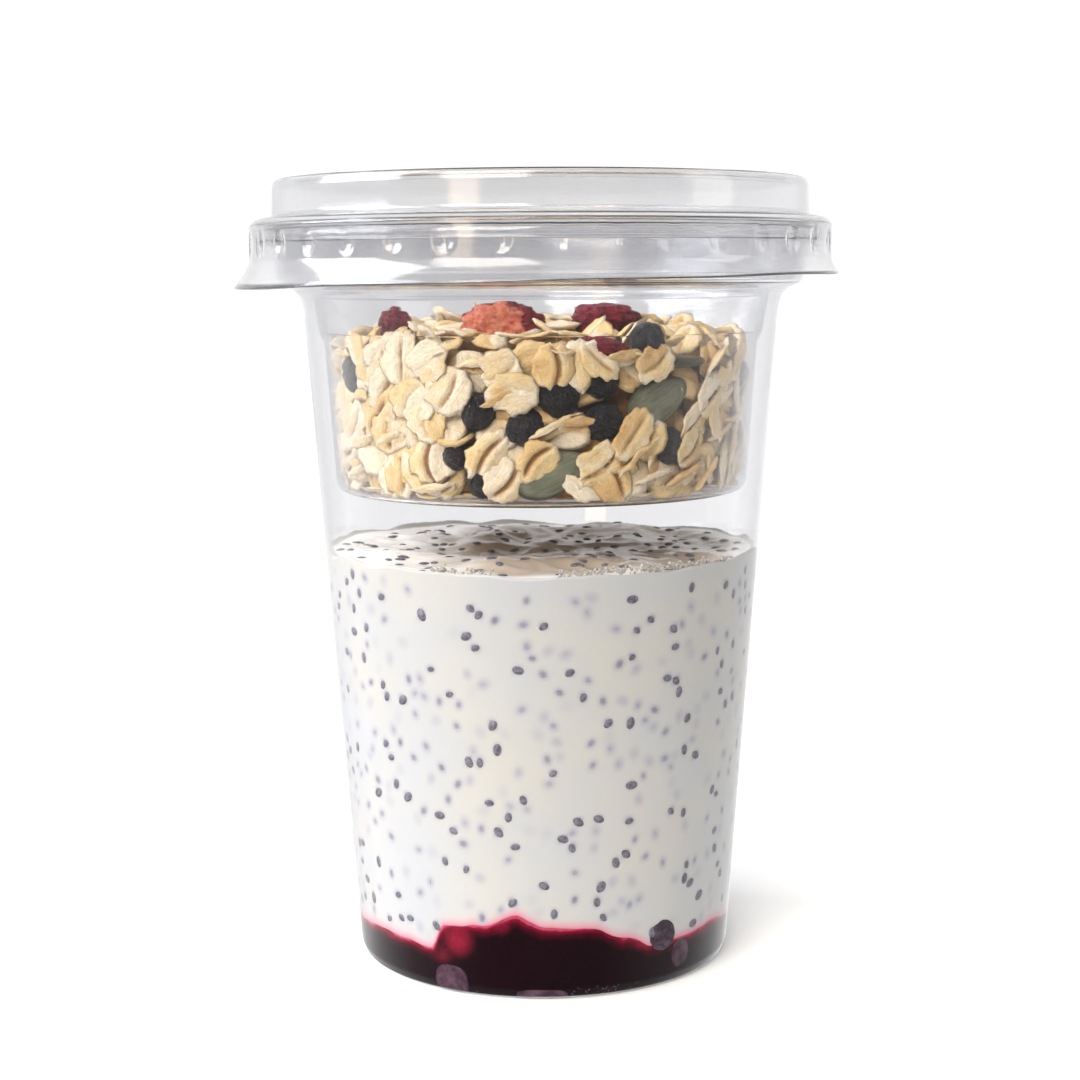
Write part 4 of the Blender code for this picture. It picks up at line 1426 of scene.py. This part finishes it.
# painted shade: the core gets the darkest toasted tone and the bran colour
oats.add(points, np.array(triangles), flakeSpot=points,
         flakeTone=np.full(len(points), 1.1), flakeFold=np.full(len(points), 0.95))
heapPiece = oats.make("rolled_oats", rolledOat(oatLook), ["muesli"])
print("muesli made:", len(heapPiece.data.polygons), "faces")


# Stage, lights and camera

stageLook = {
    "floor": "#F4F4F4",
    "floorGlow": 0.2,
    "floorRadius": 220.0,
    "behind": 1.12,
    "side": 0.36,
    "front": 0.10,
}


def makeFloor():
    # a round of plain pale paper under the cup
    material, tree = newMaterial("pale paper")
    paper = addNode(tree, "BsdfPrincipled", {
        "Base Color": stageLook["floor"], "Roughness": 0.9,
        "Emission Color": (1, 1, 1, 1), "Emission Strength": stageLook["floorGlow"],
    })
    # the plastic does not mirror it, or its reflection would haze the dark fruit
    clear = addNode(tree, "BsdfTransparent", {"Color": (1, 1, 1, 1)})
    ray = addNode(tree, "LightPath")
    mix = addNode(tree, "MixShader", {0: ray.outputs["Is Glossy Ray"], 1: paper, 2: clear})
    addNode(tree, "OutputMaterial", {"Surface": mix})
    mesh = bpy.data.meshes.new("floor")
    turns = columnTurns(96)
    rim = flatPoints(np.cos(turns), np.sin(turns)) * stageLook["floorRadius"] * mm
    mesh.from_pydata(rim.tolist(), [], [list(range(96))])
    mesh.materials.append(material)
    floor = bpy.data.objects.new("floor", mesh)
    floor.location.z = -0.00005
    bpy.context.scene.collection.objects.link(floor)


def makeWorld():
    # white behind the cup, greyer in front of it, so that the plastic shows its edges
    world = bpy.data.worlds.new("studio")
    world.use_nodes = True
    bpy.context.scene.world = world
    tree = world.node_tree
    tree.nodes.clear()
    way = addNode(tree, "TexCoord").outputs["Generated"]
    parts = addNode(tree, "SeparateXYZ", {0: way})
    depth = addNode(tree, "MapRange", {
        "Value": parts.outputs[1], "From Min": -1.0, "From Max": 1.0,
    })
    ramp = addRamp(tree, depth, [
        (0.12, stageLook["front"]), (0.86, stageLook["behind"]), (0.5, stageLook["side"]),
    ])
    glow = addNode(tree, "Background", {"Color": ramp, "Strength": 1.0})
    addNode(tree, "OutputWorld", {"Surface": glow})


def softLight(name, azimuth, elevation, distance, size, brightness, colour):
    # a soft box that faces the cup; azimuth from the front towards +X, sizes in metres
    turn, lift = math.radians(azimuth), math.radians(elevation)
    level = math.cos(lift)
    spot = Vector((math.sin(turn) * level, -math.cos(turn) * level, math.sin(lift)))
    data = bpy.data.lights.new(name, "AREA")
    data.shape = "RECTANGLE"
    data.size, data.size_y = size
    data.energy = brightness * math.pi * size[0] * size[1]
    data.color = hexColour(colour)[:3]
    light = bpy.data.objects.new(name, data)
    light.location = spot * distance + Vector((0, 0, 0.08))
    light.rotation_euler = (-spot).to_track_quat("-Z", "Y").to_euler()
    bpy.context.scene.collection.objects.link(light)
    return light


makeFloor()
makeWorld()
softLight("window at the left", -84, 32, 1.1, (0.8, 0.9), 6.3, "#F4F7FF")
softLight("warm strip", -31, 12.5, 1.4, (0.30, 0.6), 3.0, "#FFE4C4")
frontLight = softLight("high front light", -24, 36, 1.3, (0.8, 0.8), 10.5, "#FFFAF2")
frontLight.visible_glossy = False  # it lights the food without a white patch on the lid
softLight("fill at the right", 75, 20, 1.6, (0.6, 0.9), 1.4, "#FFF8F0")

cameraFit = {
    "focal": 68.88,  # of a 36 mm sensor, fitted to the ellipses of the base, lip and yogurt
    "place": (-0.09, -350.3, 114.6),
    "pitch": 82.803,
    "roll": 0.3,
}
cameraData = bpy.data.cameras.new("camera")
cameraData.lens = cameraFit["focal"]
cameraData.sensor_width = 36.0
camera = bpy.data.objects.new("camera", cameraData)
camera.location = Vector(cameraFit["place"]) * mm
camera.rotation_euler = (math.radians(cameraFit["pitch"]), math.radians(cameraFit["roll"]), 0)
cameraData.clip_start = 0.01
cameraData.clip_end = 300
bpy.context.scene.collection.objects.link(camera)
bpy.context.scene.camera = camera

scene = bpy.context.scene
scene.view_settings.view_transform = "Standard"
scene.cycles.max_bounces = 22
scene.cycles.transmission_bounces = 20
scene.cycles.transparent_max_bounces = 28
scene.cycles.diffuse_bounces = 3
scene.cycles.glossy_bounces = 6
scene.cycles.caustics_reflective = False
scene.cycles.caustics_refractive = False
scene.cycles.use_denoising = True
print("stage, lights and camera made")
